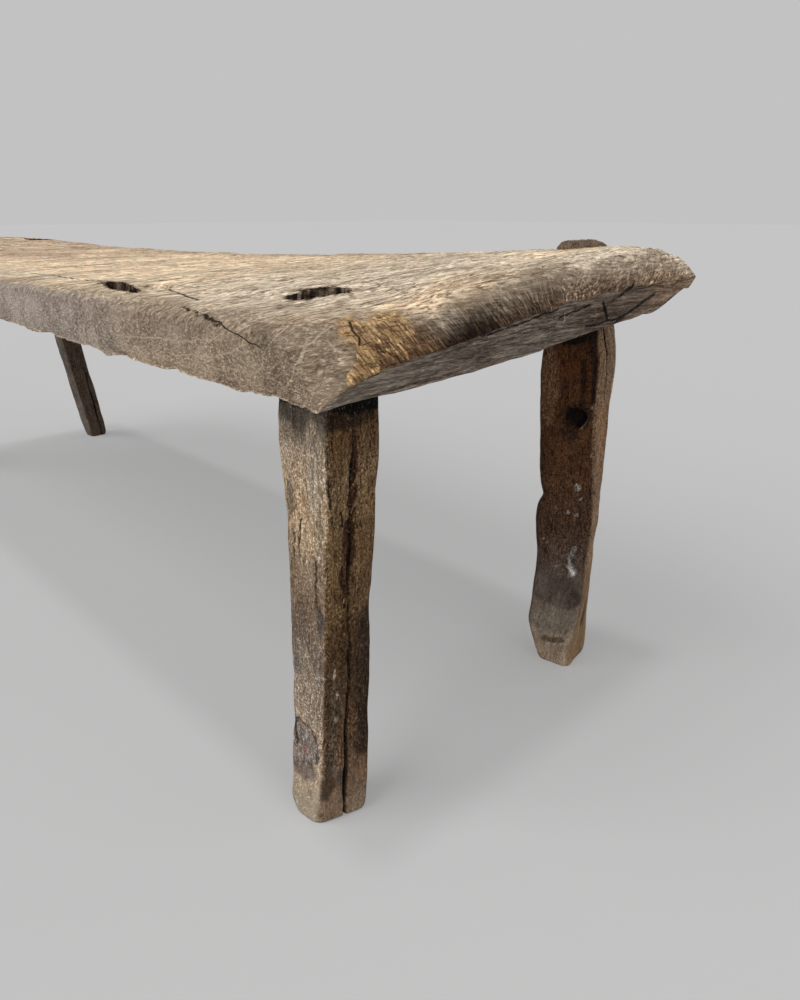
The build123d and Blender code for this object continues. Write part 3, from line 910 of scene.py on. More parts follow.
def plank_finish():
    """Weathered wood whose fibres run along Y, with torn fibres on the end's bevel."""
    finish = Finish("weathered_plank")
    place = finish.place()
    x, y, z = finish.parts(place)
    bevel, fresh, face = finish.parts(finish.painted("marks"))
    setback = CAD_HIGH[0] - x
    inset = y - CAD_LOW[1]
    cloud = finish.noise(place, 30, 4, 0.6)
    sway = finish.noise(finish.scaled(place, (1, 0.30, 1)), 17, 2) - 0.5
    swayed_x, swayed_z = x + 0.014 * sway, z + 0.006 * sway
    grain = finish.node("ShaderNodeCombineXYZ", None, {0: swayed_x * 0.5, 1: y * 0.07, 2: swayed_z})
    short_grain = finish.node("ShaderNodeCombineXYZ", None, {0: swayed_x * 0.6, 1: y * 0.16, 2: swayed_z})
    broad = finish.noise(grain, 130, 3).step(0.38, 0.62)
    fine = finish.noise(grain, 430, 4, 0.70).step(0.43, 0.57)
    hair = finish.noise(short_grain, 980, 3, 0.65).step(0.42, 0.58)
    flaws = finish.noise(short_grain, 560, 2, 0.5)

    by_arris = inset.step(0.034, 0.010) * (z + 0.016 * sway).step(0.414, 0.430) * setback.step(0.040, 0.075)
    far_side = (inset + 0.08 * sway).step(0.18, 0.31)
    beside = finish.shifted(place, SWIRL_MIDDLE)
    ways = finish.mixed(far_side, turned(finish, beside, TEAR_WAY, 0.20), turned(finish, beside, CROSS_WAY, 0.20))
    arris_share = inset.step(0.045, 0.040) * setback.step(0.04, 0.06)
    ways = finish.mixed(arris_share, ways, turned(finish, place, ARRIS_WAY, 0.18))
    torn = finish.noise(ways, 430, 5, 0.75)
    strokes = torn.step(0.43, 0.57)
    pits = torn.step(0.41, 0.35)
    slits = finish.noise(ways, 560, 2, 0.5).step(0.535, 0.575)

    gaps = flaws.step(0.55, 0.63) * cloud.step(0.38, 0.54)
    along_top = (0.41 + 0.42 * broad + 0.74 * fine + 0.50 * hair) * (1 - 0.72 * gaps)
    along_top = along_top * (0.84 + 0.26 * cloud.step(0.35, 0.65)) * (1 + 0.35 * flaws.step(0.42, 0.34))
    along_face = 0.36 + 0.46 * fine + 0.62 * hair + 0.50 * cloud.step(0.35, 0.65)
    along_bevel = (0.30 + 1.15 * strokes + 0.55 * fine + 0.3 * hair) * (1 - 0.75 * pits)
    along_bevel = along_bevel * (1 - 0.72 * slits) * (0.75 + 1.05 * cloud.step(0.35, 0.65))
    along_undercut = 0.20 + 0.80 * fine + 0.46 * broad + 0.50 * hair
    tone = along_top * (1 - face) + along_face * face
    tone = tone * (1 - bevel) + along_bevel * bevel
    under = (fresh * -1).step(0.3, 0.7)
    tone = tone * (1 - under) + along_undercut * under
    frayed = (0.62 + 0.72 * strokes) * (1 - 0.60 * torn.step(0.44, 0.38))
    tone = tone * (1 - 0.65 * by_arris) + frayed * by_arris * 0.65

    broken = finish.noise(place, 170, 2).step(0.40, 0.52)
    wander = 0.0050 * (finish.noise(place, 70, 4) - 0.5)
    cracks = crack_lines(finish, place, broken, wander)
    arcs = pale_lines(finish, place, broken, wander)
    bruise = fresh + 2.4 * (torn - 0.5) + 1.2 * (flaws - 0.5)
    bruised = bruise.step(0.16, 0.56) * fresh.step(0.02, 0.30)
    pitted = 0.68 * slits.math("MAXIMUM", flaws.step(0.565, 0.60))
    holes = cracks.math("MAXIMUM", pitted * fresh.step(0.30, 0.70))

    tinted = finish.mixed(tone.step(0.30, 1.10), (1.10, 0.96, 0.86, 1), (0.98, 1.00, 1.02, 1))
    colour = finish.mixed(1.0, finish.toned(finish.painted("paint"), tone), tinted, "MULTIPLY")
    orange = finish.mixed((0.22 + 0.95 * strokes + 0.50 * hair) * fresh.step(0.06, 0.36), (*FRESH_BROWN, 1), (*FRESH_ORANGE, 1))
    colour = finish.mixed(bruised * (0.76 + 0.22 * strokes), colour, orange)
    colour = finish.mixed(arcs * 0.66, colour, (0.62, 0.51, 0.38, 1))
    colour = finish.toned(colour, 1 - 0.90 * holes)
    height = tone + 0.8 * bevel * strokes + bruised * strokes - 2.0 * holes
    return finish.finish(colour, 0.84 + 0.10 * fine, height, 0.0014)


plank_material = plank_finish()
paints = {"paint": colours, "marks": marks}
plank = make_piece("plank", points, paints, plank_material, "seat_plank")

# %% [markdown]
# The shape of a leg
#
# Each leg was split from a log and squared with an axe, so it has four flats, narrow worn arrises, a foot
# rounded by the floor and a whittled tenon. Seen from above, its outline is what lies inside eight flat
# planes: the distance to the nearest plane, in each direction from the middle line, with the arrises
# rounded off. How far out each flat lies at each height is a curve through a few widths. The rings start
# at the leg's longest split, where their points crowd together, so that the split is a real groove.
#
# The tables are in millimetres. A row of flats is a height, then the distance of the near, far, front and
# back flat from the middle line, then the turn of the whole outline in degrees.

# %% The shape of a leg
LEGS = {
    "near_front": {
        "foot": (82, 58),
        "tenon": (118, 92),
        "arris": ((0, 2.6), (398, 3)),
        "skew": ((0, -7, 14), (14, -7, 14), (40, -3, 8), (80, 0, 0), (398, 0, 0)),
        "seed": 101,
        "shoulder": 391,
        "calm": (42, 66),
        "flecked": 1.0,
        "step": 1.25,
        "flats": (
            (0, 26, 4.5, 31.5, 19, -9), (4, 27.5, 6, 32.5, 20.5, -9), (12, 28.5, 9.5, 33, 21, -9),
            (28, 28, 13.5, 31.5, 21.8, -7), (69, 27, 17.3, 28, 25.6, -3), (108, 27, 17.0, 26, 28.2, 0), (147, 27.5, 21, 24, 30.3, 0),
            (184, 28, 22.5, 22.8, 31.2, 0), (220, 28.5, 25, 21, 33.3, 0), (256, 29, 29, 19.5, 37.0, 0),
            (290, 29.5, 33.5, 18.2, 38.4, 0), (330, 30, 35.2, 18.4, 41.0, 0), (356, 30, 35, 18.5, 41.0, 0),
            (384, 30, 34, 18.5, 40, 0), (388, 29, 33, 18, 39, 0), (394, 24, 26, 14, 33, 0),
        ),
        "split": (
            (0, 0), (8, -1.2), (27, -2.6), (55, -0.7), (85, -0.5), (112, 1.5), (131, 2.9), (152, 2.7),
            (171, 2.9), (184, 1.4), (207, 2.9), (236, 3.6), (247, 5.8), (273, 6.0), (303, 7.1), (315, 8.8),
            (344, 10), (394, 10),
        ),
        "depth": ((0, 9), (12, 8), (190, 7), (236, 3.5), (262, 1.1), (345, 1.1), (394, 2)),
        "gape": ((0, 1.9), (14, 1.5), (90, 1.5), (120, 1.4), (215, 1.3), (240, 0.8), (394, 0.7)),
        "side": 0,
    },
    "near_back": {
        "foot": (89, 423),
        "tenon": (97, 420),
        "arris": ((0, 3.5), (398, 3.5)),
        "skew": ((0, 0, 0), (398, 0, 0)),
        "seed": 211,
        "shoulder": 403,
        "calm": (95, 150),
        "flecked": 0.12,
        "step": 1.5,
        "flats": (
            (0, 28, 9, 35, 14, 10), (4, 29.5, 10, 36.5, 15, 10), (12, 30, 14, 36.5, 17, 10),
            (24, 30, 20, 36, 19.5, 12), (52, 30, 29, 33, 20, 20), (79, 32, 29, 30.5, 21, 24), (131, 33.4, 27.1, 29, 22, 24),
            (182, 36, 29, 29, 23, 24), (196, 36, 27, 29, 23, 23), (207, 35.5, 22.5, 29, 24, 22),
            (220, 36, 25.5, 29, 25, 21), (254, 35.2, 27.8, 29, 28, 18), (300, 33.9, 27.8, 30, 30, 16),
            (344, 35.7, 30.5, 30, 31, 16), (366, 35.7, 28.5, 31, 31, 16), (384, 34, 24, 30, 31, 16),
            (398, 32, 22, 28, 29, 16),
        ),
        "split": ((0, -1), (324, -1.4), (348, -4), (367, -6.8), (381, -12), (398, -16)),
        "depth": ((0, 0), (285, 0), (318, 5), (398, 6)),
        "gape": ((0, 0.9), (318, 0.9), (398, 1.8)),
        "side": 0,
    },
    "far_back": {
        "foot": (1423, 417),
        "tenon": (1405, 352),
        "arris": ((0, 3.0), (398, 3.0)),
        "skew": ((0, 0, 0), (398, 0, 0)),
        "seed": 307,
        "shoulder": 391,
        "calm": (20, 40),
        "flecked": 0.3,
        "step": 2.4,
        "flats": (
            (0, 17, 17, 19, 17, 2), (10, 19, 19, 21, 19, 2), (61, 20, 20, 21.5, 18.5, 2),
            (111, 20, 20, 24, 20, 2), (159, 20, 20, 24.5, 17.5, 2), (207, 20, 20, 24.5, 17, 2),
            (300, 22, 22, 25, 19, 2), (380, 22, 22, 24, 20, 2), (398, 20, 20, 21, 18, 2),
        ),
        "split": ((0, 4), (150, 6), (398, 2)),
        "depth": ((0, 3), (60, 4), (150, 2), (220, 0), (398, 0)),
        "gape": ((0, 0.9), (398, 0.8)),
        "side": 0,
    },
    "far_front": {
        "foot": (1420, 55),
        "tenon": (1396, 96),
        "arris": ((0, 3.0), (398, 3.0)),
        "skew": ((0, 0, 0), (398, 0, 0)),
        "seed": 401,
        "shoulder": 391,
        "calm": (20, 40),
        "flecked": 0.3,
        "step": 2.4,
        "flats": (
            (0, 20, 20, 20, 20, 3), (12, 22, 21.5, 22, 21.5, 3), (120, 24, 23, 23, 24, 3),
            (240, 25.5, 25, 25, 25, 2), (345, 27.5, 27, 27, 27, 2), (372, 27, 26.5, 26, 27, 2),
            (398, 24, 24, 24, 24, 2),
        ),
        "split": ((0, -3), (200, 4), (398, 7)),
        "depth": ((0, 5), (90, 4), (190, 1), (398, 0)),
        "gape": ((0, 1.2), (398, 0.8)),
        "side": 180,
    },
}
POINT_SPACING = 1.15
TENON_HALF = 20.0
DOME_HALF = 24.0
DOMED_LEG = "near_back"
TENON_SUNK = 9.0
TENON_PROUD = 7.5
DOME_WEAR = 3.6
FACE_ORDER = ("near", "back", "far", "front")
ROUNDING = 2.5


def ring_angles(count, crowding):
    """Angles round a ring, from the split round to the split again, crowded at both: even steps less a
    share of their own sine."""
    even = np.arange(count) / count
    return 2 * np.pi * even - crowding * np.sin(2 * np.pi * even)


def flat_reach(angle, distances, ways, arris):
    """How far the outline lies from the middle in each direction: the distance of the nearest of four
    flats and four arris planes over the cosine of the angle from it, rounded where two meet."""
    reach = np.full(angle.shape, 200.0)
    for quarter in range(4):
        beside = (quarter + 1) % 4
        way = ways[:, quarter]
        half_turn = ((ways[:, beside] - way) % (2 * np.pi)) / 2
        corner = (distances[:, quarter] + distances[:, beside]) / (2 * np.cos(half_turn))
        for facing_way, distance in ((way, distances[:, quarter]), (way + half_turn, corner - arris)):
            facing = np.maximum(np.cos(angle - facing_way[:, None]), 0.05)
            reach = lower_of(reach, np.minimum(distance[:, None] / facing, 200.0), ROUNDING)
    return reach


def leg_rows(end, step, shoulder, domed):
    """Heights of the rings, the share of the outline that each keeps, and which of them are the tenon's."""
    foot = [(0, share) for share in (0.02, 0.25, 0.5, 0.75, 0.93)] + [(0, 0.975), (0.8, 0.99), (2, 1.0)]
    shaft = [(height, 1.0) for height in np.arange(3.5, shoulder - 1, step)] + [(shoulder, 1.0)]
    stem = [(height, 1.0) for height in np.arange(shoulder + 0.2, end - 9, 4.0)]
    if domed:
        worn_end = end - DOME_WEAR
        drops = ((9.0, 1.03), (7.0, 1.02), (5.4, 0.995), (4.0, 0.96), (2.7, 0.91), (1.6, 0.84), (0.7, 0.74), (0.2, 0.63))
        crown = [(worn_end - drop, share) for drop, share in drops]
        crown += [(worn_end, share) for share in (0.55, 0.44, 0.33, 0.22, 0.12, 0.02)]
    else:
        crown = [(end - 6, 1.0), (end - 2, 1.0), (end - 0.8, 0.98), (end, 0.93)]
        crown += [(end, share) for share in (0.8, 0.68, 0.56, 0.44, 0.32, 0.2, 0.1, 0.02)]
    rows = np.array(foot + shaft + stem + crown, float)
    return rows[:, 0], rows[:, 1], np.arange(len(rows)) >= len(foot) + len(shaft)


def leg_points(name, leg):
    """Rings of points of a whole leg in millimetres beside its middle line, and what is known of them."""
    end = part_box("leg_" + name)[1].z / MM
    domed = name == DOMED_LEG
    tenon_top = end - TENON_PROUD if domed else end + TENON_SUNK
    height, keep, is_tenon = leg_rows(end, leg["step"], leg["shoulder"], domed)

    flats = np.array(leg["flats"], float)
    widths = curve_through(height, flats[:, 0], flats[:, 1:])
    distances = widths[:, [0, 3, 1, 2]]
    ring_places = np.stack([height, 0 * height, 0 * height], -1)
    for quarter in range(4):
        distances[:, quarter] += 0.9 * noise_at(ring_places, (55, 55, 55), leg["seed"] + quarter, 2)
    tenon_half = DOME_HALF if domed else TENON_HALF
    distances[is_tenon] = tenon_half
    arris_table = np.array(leg["arris"], float)
    arris = np.interp(height, arris_table[:, 0], arris_table[:, 1])
    arris = np.where(is_tenon, tenon_half * (2**0.5 - 1), arris)
    skew_table = np.array(leg["skew"], float)
    ways = np.zeros_like(distances) + np.radians([0, 90, 180, 270])
    ways[:, 0] += np.radians(np.interp(height, skew_table[:, 0], skew_table[:, 1]))
    ways[:, 3] += np.radians(np.interp(height, skew_table[:, 0], skew_table[:, 2]))

    split = np.array(leg["split"], float)
    split_place = np.interp(height, split[:, 0], split[:, 1])
    split_place = split_place + 0.8 * noise_at(ring_places, (22, 22, 22), leg["seed"] + 9, 3)
    seam = np.arctan2(split_place, distances[:, 0]) + math.radians(leg["side"])
    count = int(2 * np.pi * 30 / POINT_SPACING / max(1.0, leg["step"] / 1.5) / 2) * 2
    around = ring_angles(count, 0.72)[None]
    angle = seam[:, None] + around
    reach = flat_reach(angle, distances, ways, arris) * keep[:, None]

    apart = np.minimum(around, 2 * np.pi - around) * reach
    depth_knots = np.array(leg["depth"], float)
    depth = np.interp(height, depth_knots[:, 0], depth_knots[:, 1]) * (keep > 0.9) * ~is_tenon
    gape = np.array(leg["gape"], float)
    width = np.interp(height, gape[:, 0], gape[:, 1])
    width = width * (1 + 0.35 * noise_at(ring_places, (14, 14, 14), leg["seed"] + 17, 2))
    reach = reach - depth[:, None] * np.exp(-((apart / width[:, None]) ** 2))

    along, across = reach * np.cos(angle), reach * np.sin(angle)
    share = (height / tenon_top)[:, None]
    middle = np.array(leg["foot"]) + np.subtract(leg["tenon"], leg["foot"]) * share
    return {
        "name": name,
        "along": along,
        "across": across,
        "height": height[:, None] + 0 * reach,
        "turn": np.radians(widths[:, 4])[:, None],
        "middle": middle,
        "distances": distances,
        "ways": ways,
        "is_tenon": is_tenon[:, None] & (reach > 0),
        "keep": keep[:, None] + 0 * reach,
        "in_split": np.exp(-((apart / (width[:, None] * 1.5)) ** 4)) * np.minimum(depth[:, None] / 3, 1),
        "seed": leg["seed"],
    }


def face_share(shape, face, edge=1.6):
    """1 on one flat of a leg and 0 elsewhere: how close each point is to that flat's plane."""
    quarter = FACE_ORDER.index(face)
    way = shape["ways"][:, quarter][:, None]
    outward = shape["along"] * np.cos(way) + shape["across"] * np.sin(way)
    return 1 - smooth_step(shape["distances"][:, quarter][:, None] - outward, 0.9, 0.9 + edge)


def beside_middle(shape, face):
    """Places across one flat of a leg, in millimetres from its middle line."""
    return shape["across"] if face in ("near", "far") else shape["along"]


# %% [markdown]
# Hollows and marks of the legs
#
# What tells the legs apart is what happened to them: a torn strip beside the long split, a rotten knot, a
# ring-shaped stain, splashes of lime, worn feet. A few marks are painted shadow instead: the dark bands at
# the tops of the two near legs, where the plank shades them. Each mark is a line in a table: the flat that
# it is on, a kind, its places as pairs of height and place across the flat, a size, a colour and how deep it
# sinks. One function paints all of them and also says how far each point moves in.

# %% Marks of the legs
BLACK = (0.012, 0.009, 0.006)
TORN = (0.072, 0.031, 0.014)
PALE = (0.46, 0.38, 0.28)
LIME = (0.62, 0.59, 0.55)
LEG_MARKS = {
    "near_front": (
        ("near", "between", ((298, 4.8, 8.6), (302, 5.0, 11.8), (308, 5.6, 14.9), (316, 4.2, 15.0), (325, 8.1, 14.3),
                             (340, 8.7, 12.2), (350, 8.5, 9.5)), 0.7, TORN, 0.9),
        ("near", "between", ((278, 6.0, 7.0), (280, 5.3, 8.4), (284, 2.3, 11), (289, 4.6, 14.8), (298, 8.6, 15.6)),
         0.7, TORN, 0.9),
        ("near", "between", ((232, 2, 8), (236, -0.5, 10), (242, -1.5, 12.9), (256, -2.6, 9.8), (261, -2.5, 11.4),
                             (270, -1, 9.5), (275, 6.8, 9.4), (280, 9, 13.1)), 0.7, TORN, 0.9),
        ("near", "between", ((204, 2, 3), (207, -1.8, 3.7), (219, -5.6, 4), (227, -7, 4), (235, -3, 4.1),
                             (239, -0.6, 4.1)), 0.7, TORN, 0.9),
        ("near", "between", ((216, 7, 8), (218, 6.3, 10.3), (222, 6.3, 11.1), (225, 6.3, 7)), 0.7, TORN, 0.5),
        ("near", "between", ((48, 2, 34), (60, 3, 34), (80, 6, 36), (130, 6, 38), (172, 8, 40), (192, 12, 40)), 9.0,
         (0.054, 0.031, 0.018), 0),
        ("near", "stroke", ((357, -19.7), (343, -19.5), (329, -16.3), (315, -15.9), (299, -14.8), (286, -12.8)), 1.3,
         (0.014, 0.008, 0.005), 0.5),
        ("near", "between", ((30, -25, -8), (55, -25, -9), (85, -25, -5), (124, -22, -4), (135, -16, -6)), 6.0,
         (0.131, 0.082, 0.048), 0.7),
        ("near", "blot", ((141, -12.3),), (5, 2.0), PALE, 0),
        ("near", "blot", ((121, -9.4),), (4, 1.8), PALE, 0),
        ("near", "blot", ((98, -11.5),), (3.5, 3.0), PALE, 0),
        ("near", "blot", ((106, -5.5),), (9, 1.6), (0.164, 0.115, 0.066), 0),
        ("near", "blot", ((42, -7.5),), (9, 3.5), (0.164, 0.137, 0.110), 0),
        ("near", "blot", ((52, -13.0),), (6, 2.5), (0.164, 0.131, 0.110), 0),
        ("near", "blot", ((34, -21),), (16, 9), (0.110, 0.071, 0.046), 0.3),
        ("near", "blot", ((9, -27),), (5, 6), (0.186, 0.104, 0.049), 0),
        ("near", "stroke", ((352, 9.4), (330, 9.0), (312, 7.2), (300, 6.0), (286, 5.6)), 0.9, BLACK, 1.2),
        ("near", "stroke", ((282, 4.6), (268, 5.0), (250, 4.6), (236, 3.0), (215, 2.4)), 1.0, BLACK, 1.4),
        ("near", "stroke", ((279, -4), (273, -2.2), (267, -2.6)), 0.9, BLACK, 0.3),
        ("near", "stroke", ((278, -12.5), (271, -13.2), (268, -9.0), (268, -3)), 0.9, (0.027, 0.017, 0.010), 0.2),
        # Painted shadow of the plank on the top of the near face: a dark brown patch and, above it, a near-black band.
        ("near", "blot", ((356, 2),), (15, 40), (0.049, 0.027, 0.014), 0),
        ("near", "between", ((355, 9, 40), (356, 8, 50), (362, -14, 50), (366, -30, 50), (400, -30, 50)), 1.4, (0.007, 0.005, 0.003), 0),
        ("front", "blot", ((357, 0),), (15, 44), (0.20, 0.155, 0.120), 0),
        # Painted shadow of the plank: a dark band over the top of the front face.
        ("front", "between", ((359, -34, 40), (363, -34, 40), (400, -34, 40)), 4.0, (0.040, 0.031, 0.024), 0),
        ("front", "blot", ((312, 14),), (52, 15), (0.62, 0.475, 0.335), 0),
        ("front", "blot", ((283, -20),), (22, 8), (0.30, 0.215, 0.14), 0),
        ("front", "blot", ((262, 20),), (34, 7), (0.52, 0.39, 0.265), 0),
        ("front", "stroke", ((268, -5.6), (237, -5.6)), 1.1, (0.06, 0.042, 0.03), 0.4),
        ("front", "stroke", ((255, -13.8), (232, -12)), 1.0, (0.07, 0.05, 0.035), 0.3),
        ("front", "stroke", ((240, 16.1), (210, 15.4), (200, 19)), 1.1, (0.06, 0.04, 0.03), 0.4),
        ("front", "blot", ((189, 22),), (18, 5), (0.125, 0.095, 0.075), 0),
        ("front", "blot", ((142, -8),), (15, 6), (0.24, 0.19, 0.150), 0),
        ("front", "stroke", ((139, 18.4), (140, 23), (137, 27), (131, 28.0)), 1.1, LIME, -0.3),
        ("front", "stroke", ((126, 14.5), (124, 19), (121, 23)), 1.0, PALE, -0.2),
        ("front", "blot", ((66, 3),), (26, 20), (0.33, 0.272, 0.225), 0),
        ("front", "stroke", ((86, -13), (90, -6), (90, 3), (88, 11), (82, 17), (72, 21), (60, 20)), 2.0,
         (0.165, 0.130, 0.120), 0.2),
        ("front", "stroke", ((87, -14), (77, -13), (67, -8)), 3.0, (0.085, 0.068, 0.068), 0.2),
        ("front", "blot", ((65, 4),), (6, 7), (0.32, 0.190, 0.160), 0),
        ("front", "blot", ((46, 2),), (12, 24), (0.26, 0.20, 0.165), 0),
    ),
    "near_back": (
        ("front", "blot", ((303, 14),), (17, 23), (0.055, 0.030, 0.019), 0.6),
        ("front", "hole", ((299, 12.6),), (12.5, 13.0), (0.016, 0.010, 0.008), 8.0),
        ("front", "stroke", ((305, 25.6), (296, 24.8), (289, 20.5)), 1.0, PALE, -0.4),
        ("front", "stroke", ((290, -1), (285, -0.5), (280, 3), (278, 8), (285, 14)), 1.2, (0.22, 0.14, 0.085), -0.3),
        ("front", "blot", ((281, 6),), (14, 15), (0.070, 0.033, 0.019), 0.5),
        ("front", "between", ((297, 24, 40), (305, 22, 43), (313, 21, 43), (316, 30, 38)), 1.6, (0.066, 0.034, 0.020), 0.8),
        ("front", "blot", ((310, 36),), (2.5, 2.5), PALE, -0.3),
        ("front", "blot", ((312, 31),), (2.0, 2.0), (0.3, 0.22, 0.15), 0),
        ("front", "blot", ((301, 35),), (2.0, 2.0), (0.3, 0.2, 0.12), 0),
        ("front", "stroke", ((360, 17.9), (343, 19.4), (328, 19.2), (316, 19.2)), 3.2, (0.030, 0.014, 0.009), 0.9),
        ("front", "stroke", ((322, -11), (317, -8.5), (317, -5), (322, -2.5), (333, -2)), 1.5, (0.055, 0.027, 0.016), 0.4),
        ("front", "blot", ((333, 0),), (6, 6), (0.060, 0.028, 0.017), 0.5),
        ("front", "blot", ((339, 11),), (6, 5), (0.065, 0.030, 0.018), 0.4),
        ("front", "stroke", ((388, 25.5), (364, 29.2), (340, 31.3), (320, 31.1)), 4.2, (0.028, 0.013, 0.009), 0.8),
        # Painted shadow of the plank: a black band at the top of the front face.
        ("front", "between", ((374, -4, 8), (382, -14, 24), (398, -40, 50)), 2.5, BLACK, 0),
        ("front", "stroke", ((218, 17), (221, 13), (225, 17), (221, 20), (217, 17)), 1.1, (0.34, 0.31, 0.27), 0),
        ("front", "blot", ((189, 18.1),), (2.6, 2.2), LIME, 0),
        ("front", "blot", ((190, 7.7),), (2.4, 2.0), (0.45, 0.41, 0.37), 0),
        ("front", "blot", ((209, 21.2),), (1.6, 1.6), (0.4, 0.36, 0.3), 0),
        ("front", "blot", ((259, 32.0),), (2.4, 2.0), (0.36, 0.31, 0.27), 0),
        ("front", "blot", ((155, -18.8),), (2.0, 1.8), PALE, 0),
        ("front", "blot", ((151, -13.6),), (2.6, 2.0), PALE, 0),
        ("front", "blot", ((123, -2.0),), (2.4, 2.0), PALE, 0),
        ("front", "blot", ((108, -10.0),), (1.8, 3.4), (0.42, 0.39, 0.36), 0),
        ("front", "stroke", ((148, 17), (134, 12.9), (127, 13.6), (120, 17.0)), 3.4, (0.25, 0.225, 0.205), 0),
        ("front", "stroke", ((129, 13.6), (120, 17.6), (112, 16.5)), 4.2, (0.24, 0.22, 0.205), 0),
        ("front", "stroke", ((133, 13.2), (127, 13.8), (119, 17.6), (115, 17)), 2.0, (0.80, 0.76, 0.72), 0),
        ("front", "between", ((58, 4, 26), (74, -20, 30), (88, -45, 30), (110, -45, 30), (122, -10, 15)), 15.0,
         (0.165, 0.132, 0.110), 0),
        ("front", "blot", ((101, 8),), (15, 26), (0.125, 0.100, 0.086), 0),
        ("front", "blot", ((86, 21),), (14, 10), (0.090, 0.070, 0.060), 0),
        ("front", "blot", ((330, -19),), (60, 16), (0.195, 0.105, 0.055), 0),
        ("near", "blot", ((58, -8),), (22, 14), (0.120, 0.085, 0.061), 0.6),
        ("front", "blot", ((55, 0),), (22, 38), (0.265, 0.225, 0.180), 0),
        ("front", "stroke", ((30, -3), (30, 6), (33, 17)), 4.4, (0.16, 0.125, 0.098), 0.3),
        ("near", "stroke", ((398, -17), (372, -13), (340, -9), (312, -6)), 2.6, (0.36, 0.235, 0.145), 0),
        ("near", "stroke", ((392, -12), (370, -9), (340, -4), (316, -1)), 1.7, (0.020, 0.010, 0.006), 1.8),
        ("near", "between", ((335, 8, 30), (350, 6, 30), (385, 2, 34), (398, -20, 40)), 4.0, (0.274, 0.186, 0.118), 0),
    ),
    "far_back": (),
    "far_front": (),
}
# Colours of each flat by height. In the two near legs the last rows darken towards the plank's underside: painted
# shade where leg meets plank.
LEG_COLOURS = {
    "near_front": {
        "near": ((0, (0.384, 0.277, 0.184)), (25, (0.286, 0.192, 0.125)), (45, (0.297, 0.181, 0.110)),
                 (75, (0.203, 0.104, 0.053)), (120, (0.110, 0.059, 0.027)), (160, (0.099, 0.051, 0.023)),
                 (200, (0.186, 0.104, 0.046)), (260, (0.216, 0.124, 0.055)), (310, (0.223, 0.132, 0.065)),
                 (345, (0.162, 0.083, 0.033)), (400, (0.022, 0.012, 0.007))),
        "front": ((0, (0.547, 0.443, 0.341)), (28, (0.494, 0.395, 0.283)), (45, (0.611, 0.453, 0.329)),
                  (95, (0.483, 0.358, 0.257)), (130, (0.472, 0.357, 0.256)), (165, (0.247, 0.178, 0.130)),
                  (200, (0.307, 0.206, 0.131)), (230, (0.373, 0.264, 0.169)), (280, (0.675, 0.462, 0.283)),
                  (330, (0.671, 0.503, 0.350)), (350, (0.256, 0.196, 0.145)), (400, (0.146, 0.112, 0.079))),
        "other": ((0, (0.28, 0.21, 0.15)), (60, (0.17, 0.12, 0.08)), (200, (0.17, 0.11, 0.07)),
                  (400, (0.14, 0.095, 0.062))),
    },
    "near_back": {
        "front": ((0, (0.535, 0.405, 0.296)), (20, (0.428, 0.329, 0.245)), (45, (0.425, 0.335, 0.255)),
                  (65, (0.268, 0.211, 0.165)), (90, (0.191, 0.146, 0.117)), (130, (0.109, 0.071, 0.053)),
                  (170, (0.105, 0.058, 0.036)), (220, (0.122, 0.060, 0.031)), (300, (0.113, 0.047, 0.019)),
                  (350, (0.104, 0.039, 0.014)), (400, (0.043, 0.019, 0.009))),
        "near": ((0, (0.420, 0.287, 0.169)), (45, (0.373, 0.243, 0.137)), (100, (0.349, 0.227, 0.133)),
                 (220, (0.285, 0.178, 0.109)), (290, (0.284, 0.165, 0.089)), (330, (0.300, 0.190, 0.110)),
                 (375, (0.255, 0.162, 0.094)), (400, (0.119, 0.073, 0.043))),
        "other": ((0, (0.30, 0.22, 0.15)), (80, (0.11, 0.082, 0.062)), (400, (0.12, 0.075, 0.045))),
    },
    "far_back": {
        "near": ((0, (0.115, 0.083, 0.061)), (60, (0.094, 0.063, 0.045)), (400, (0.101, 0.067, 0.048))),
        "front": ((0, (0.24, 0.195, 0.16)), (400, (0.20, 0.165, 0.140))),
        "other": ((0, (0.20, 0.15, 0.11)), (400, (0.14, 0.10, 0.075))),
    },
    "far_front": {
        "near": ((0, (0.243, 0.178, 0.122)), (60, (0.140, 0.094, 0.066)), (400, (0.149, 0.098, 0.066))),
        "front": ((0, (0.392, 0.308, 0.224)), (60, (0.280, 0.217, 0.161)), (400, (0.308, 0.231, 0.168))),
        "other": ((0, (0.22, 0.17, 0.12)), (400, (0.15, 0.11, 0.08))),
    },
}
TENON_BROWN = (0.190, 0.132, 0.090)


def along_height(height, table):
    """A colour for each height, straight between the colours of a table."""
    knots = [row[0] for row in table]
    rows = np.array([row[1] for row in table])
    return np.stack([np.interp(height, knots, rows[:, channel]) for channel in range(3)], -1)


def mark_share(kind, height, across, places, size):
    """How much of each point one mark of a table covers."""
    if kind == "blot":
        return spot(height, across, places[0], size)
    if kind == "hole":
        return spot(height, across, places[0], size, 0.80)
    if kind == "stroke":
        return stroke(height, across, places, size)
    return between(height, across, places, size)


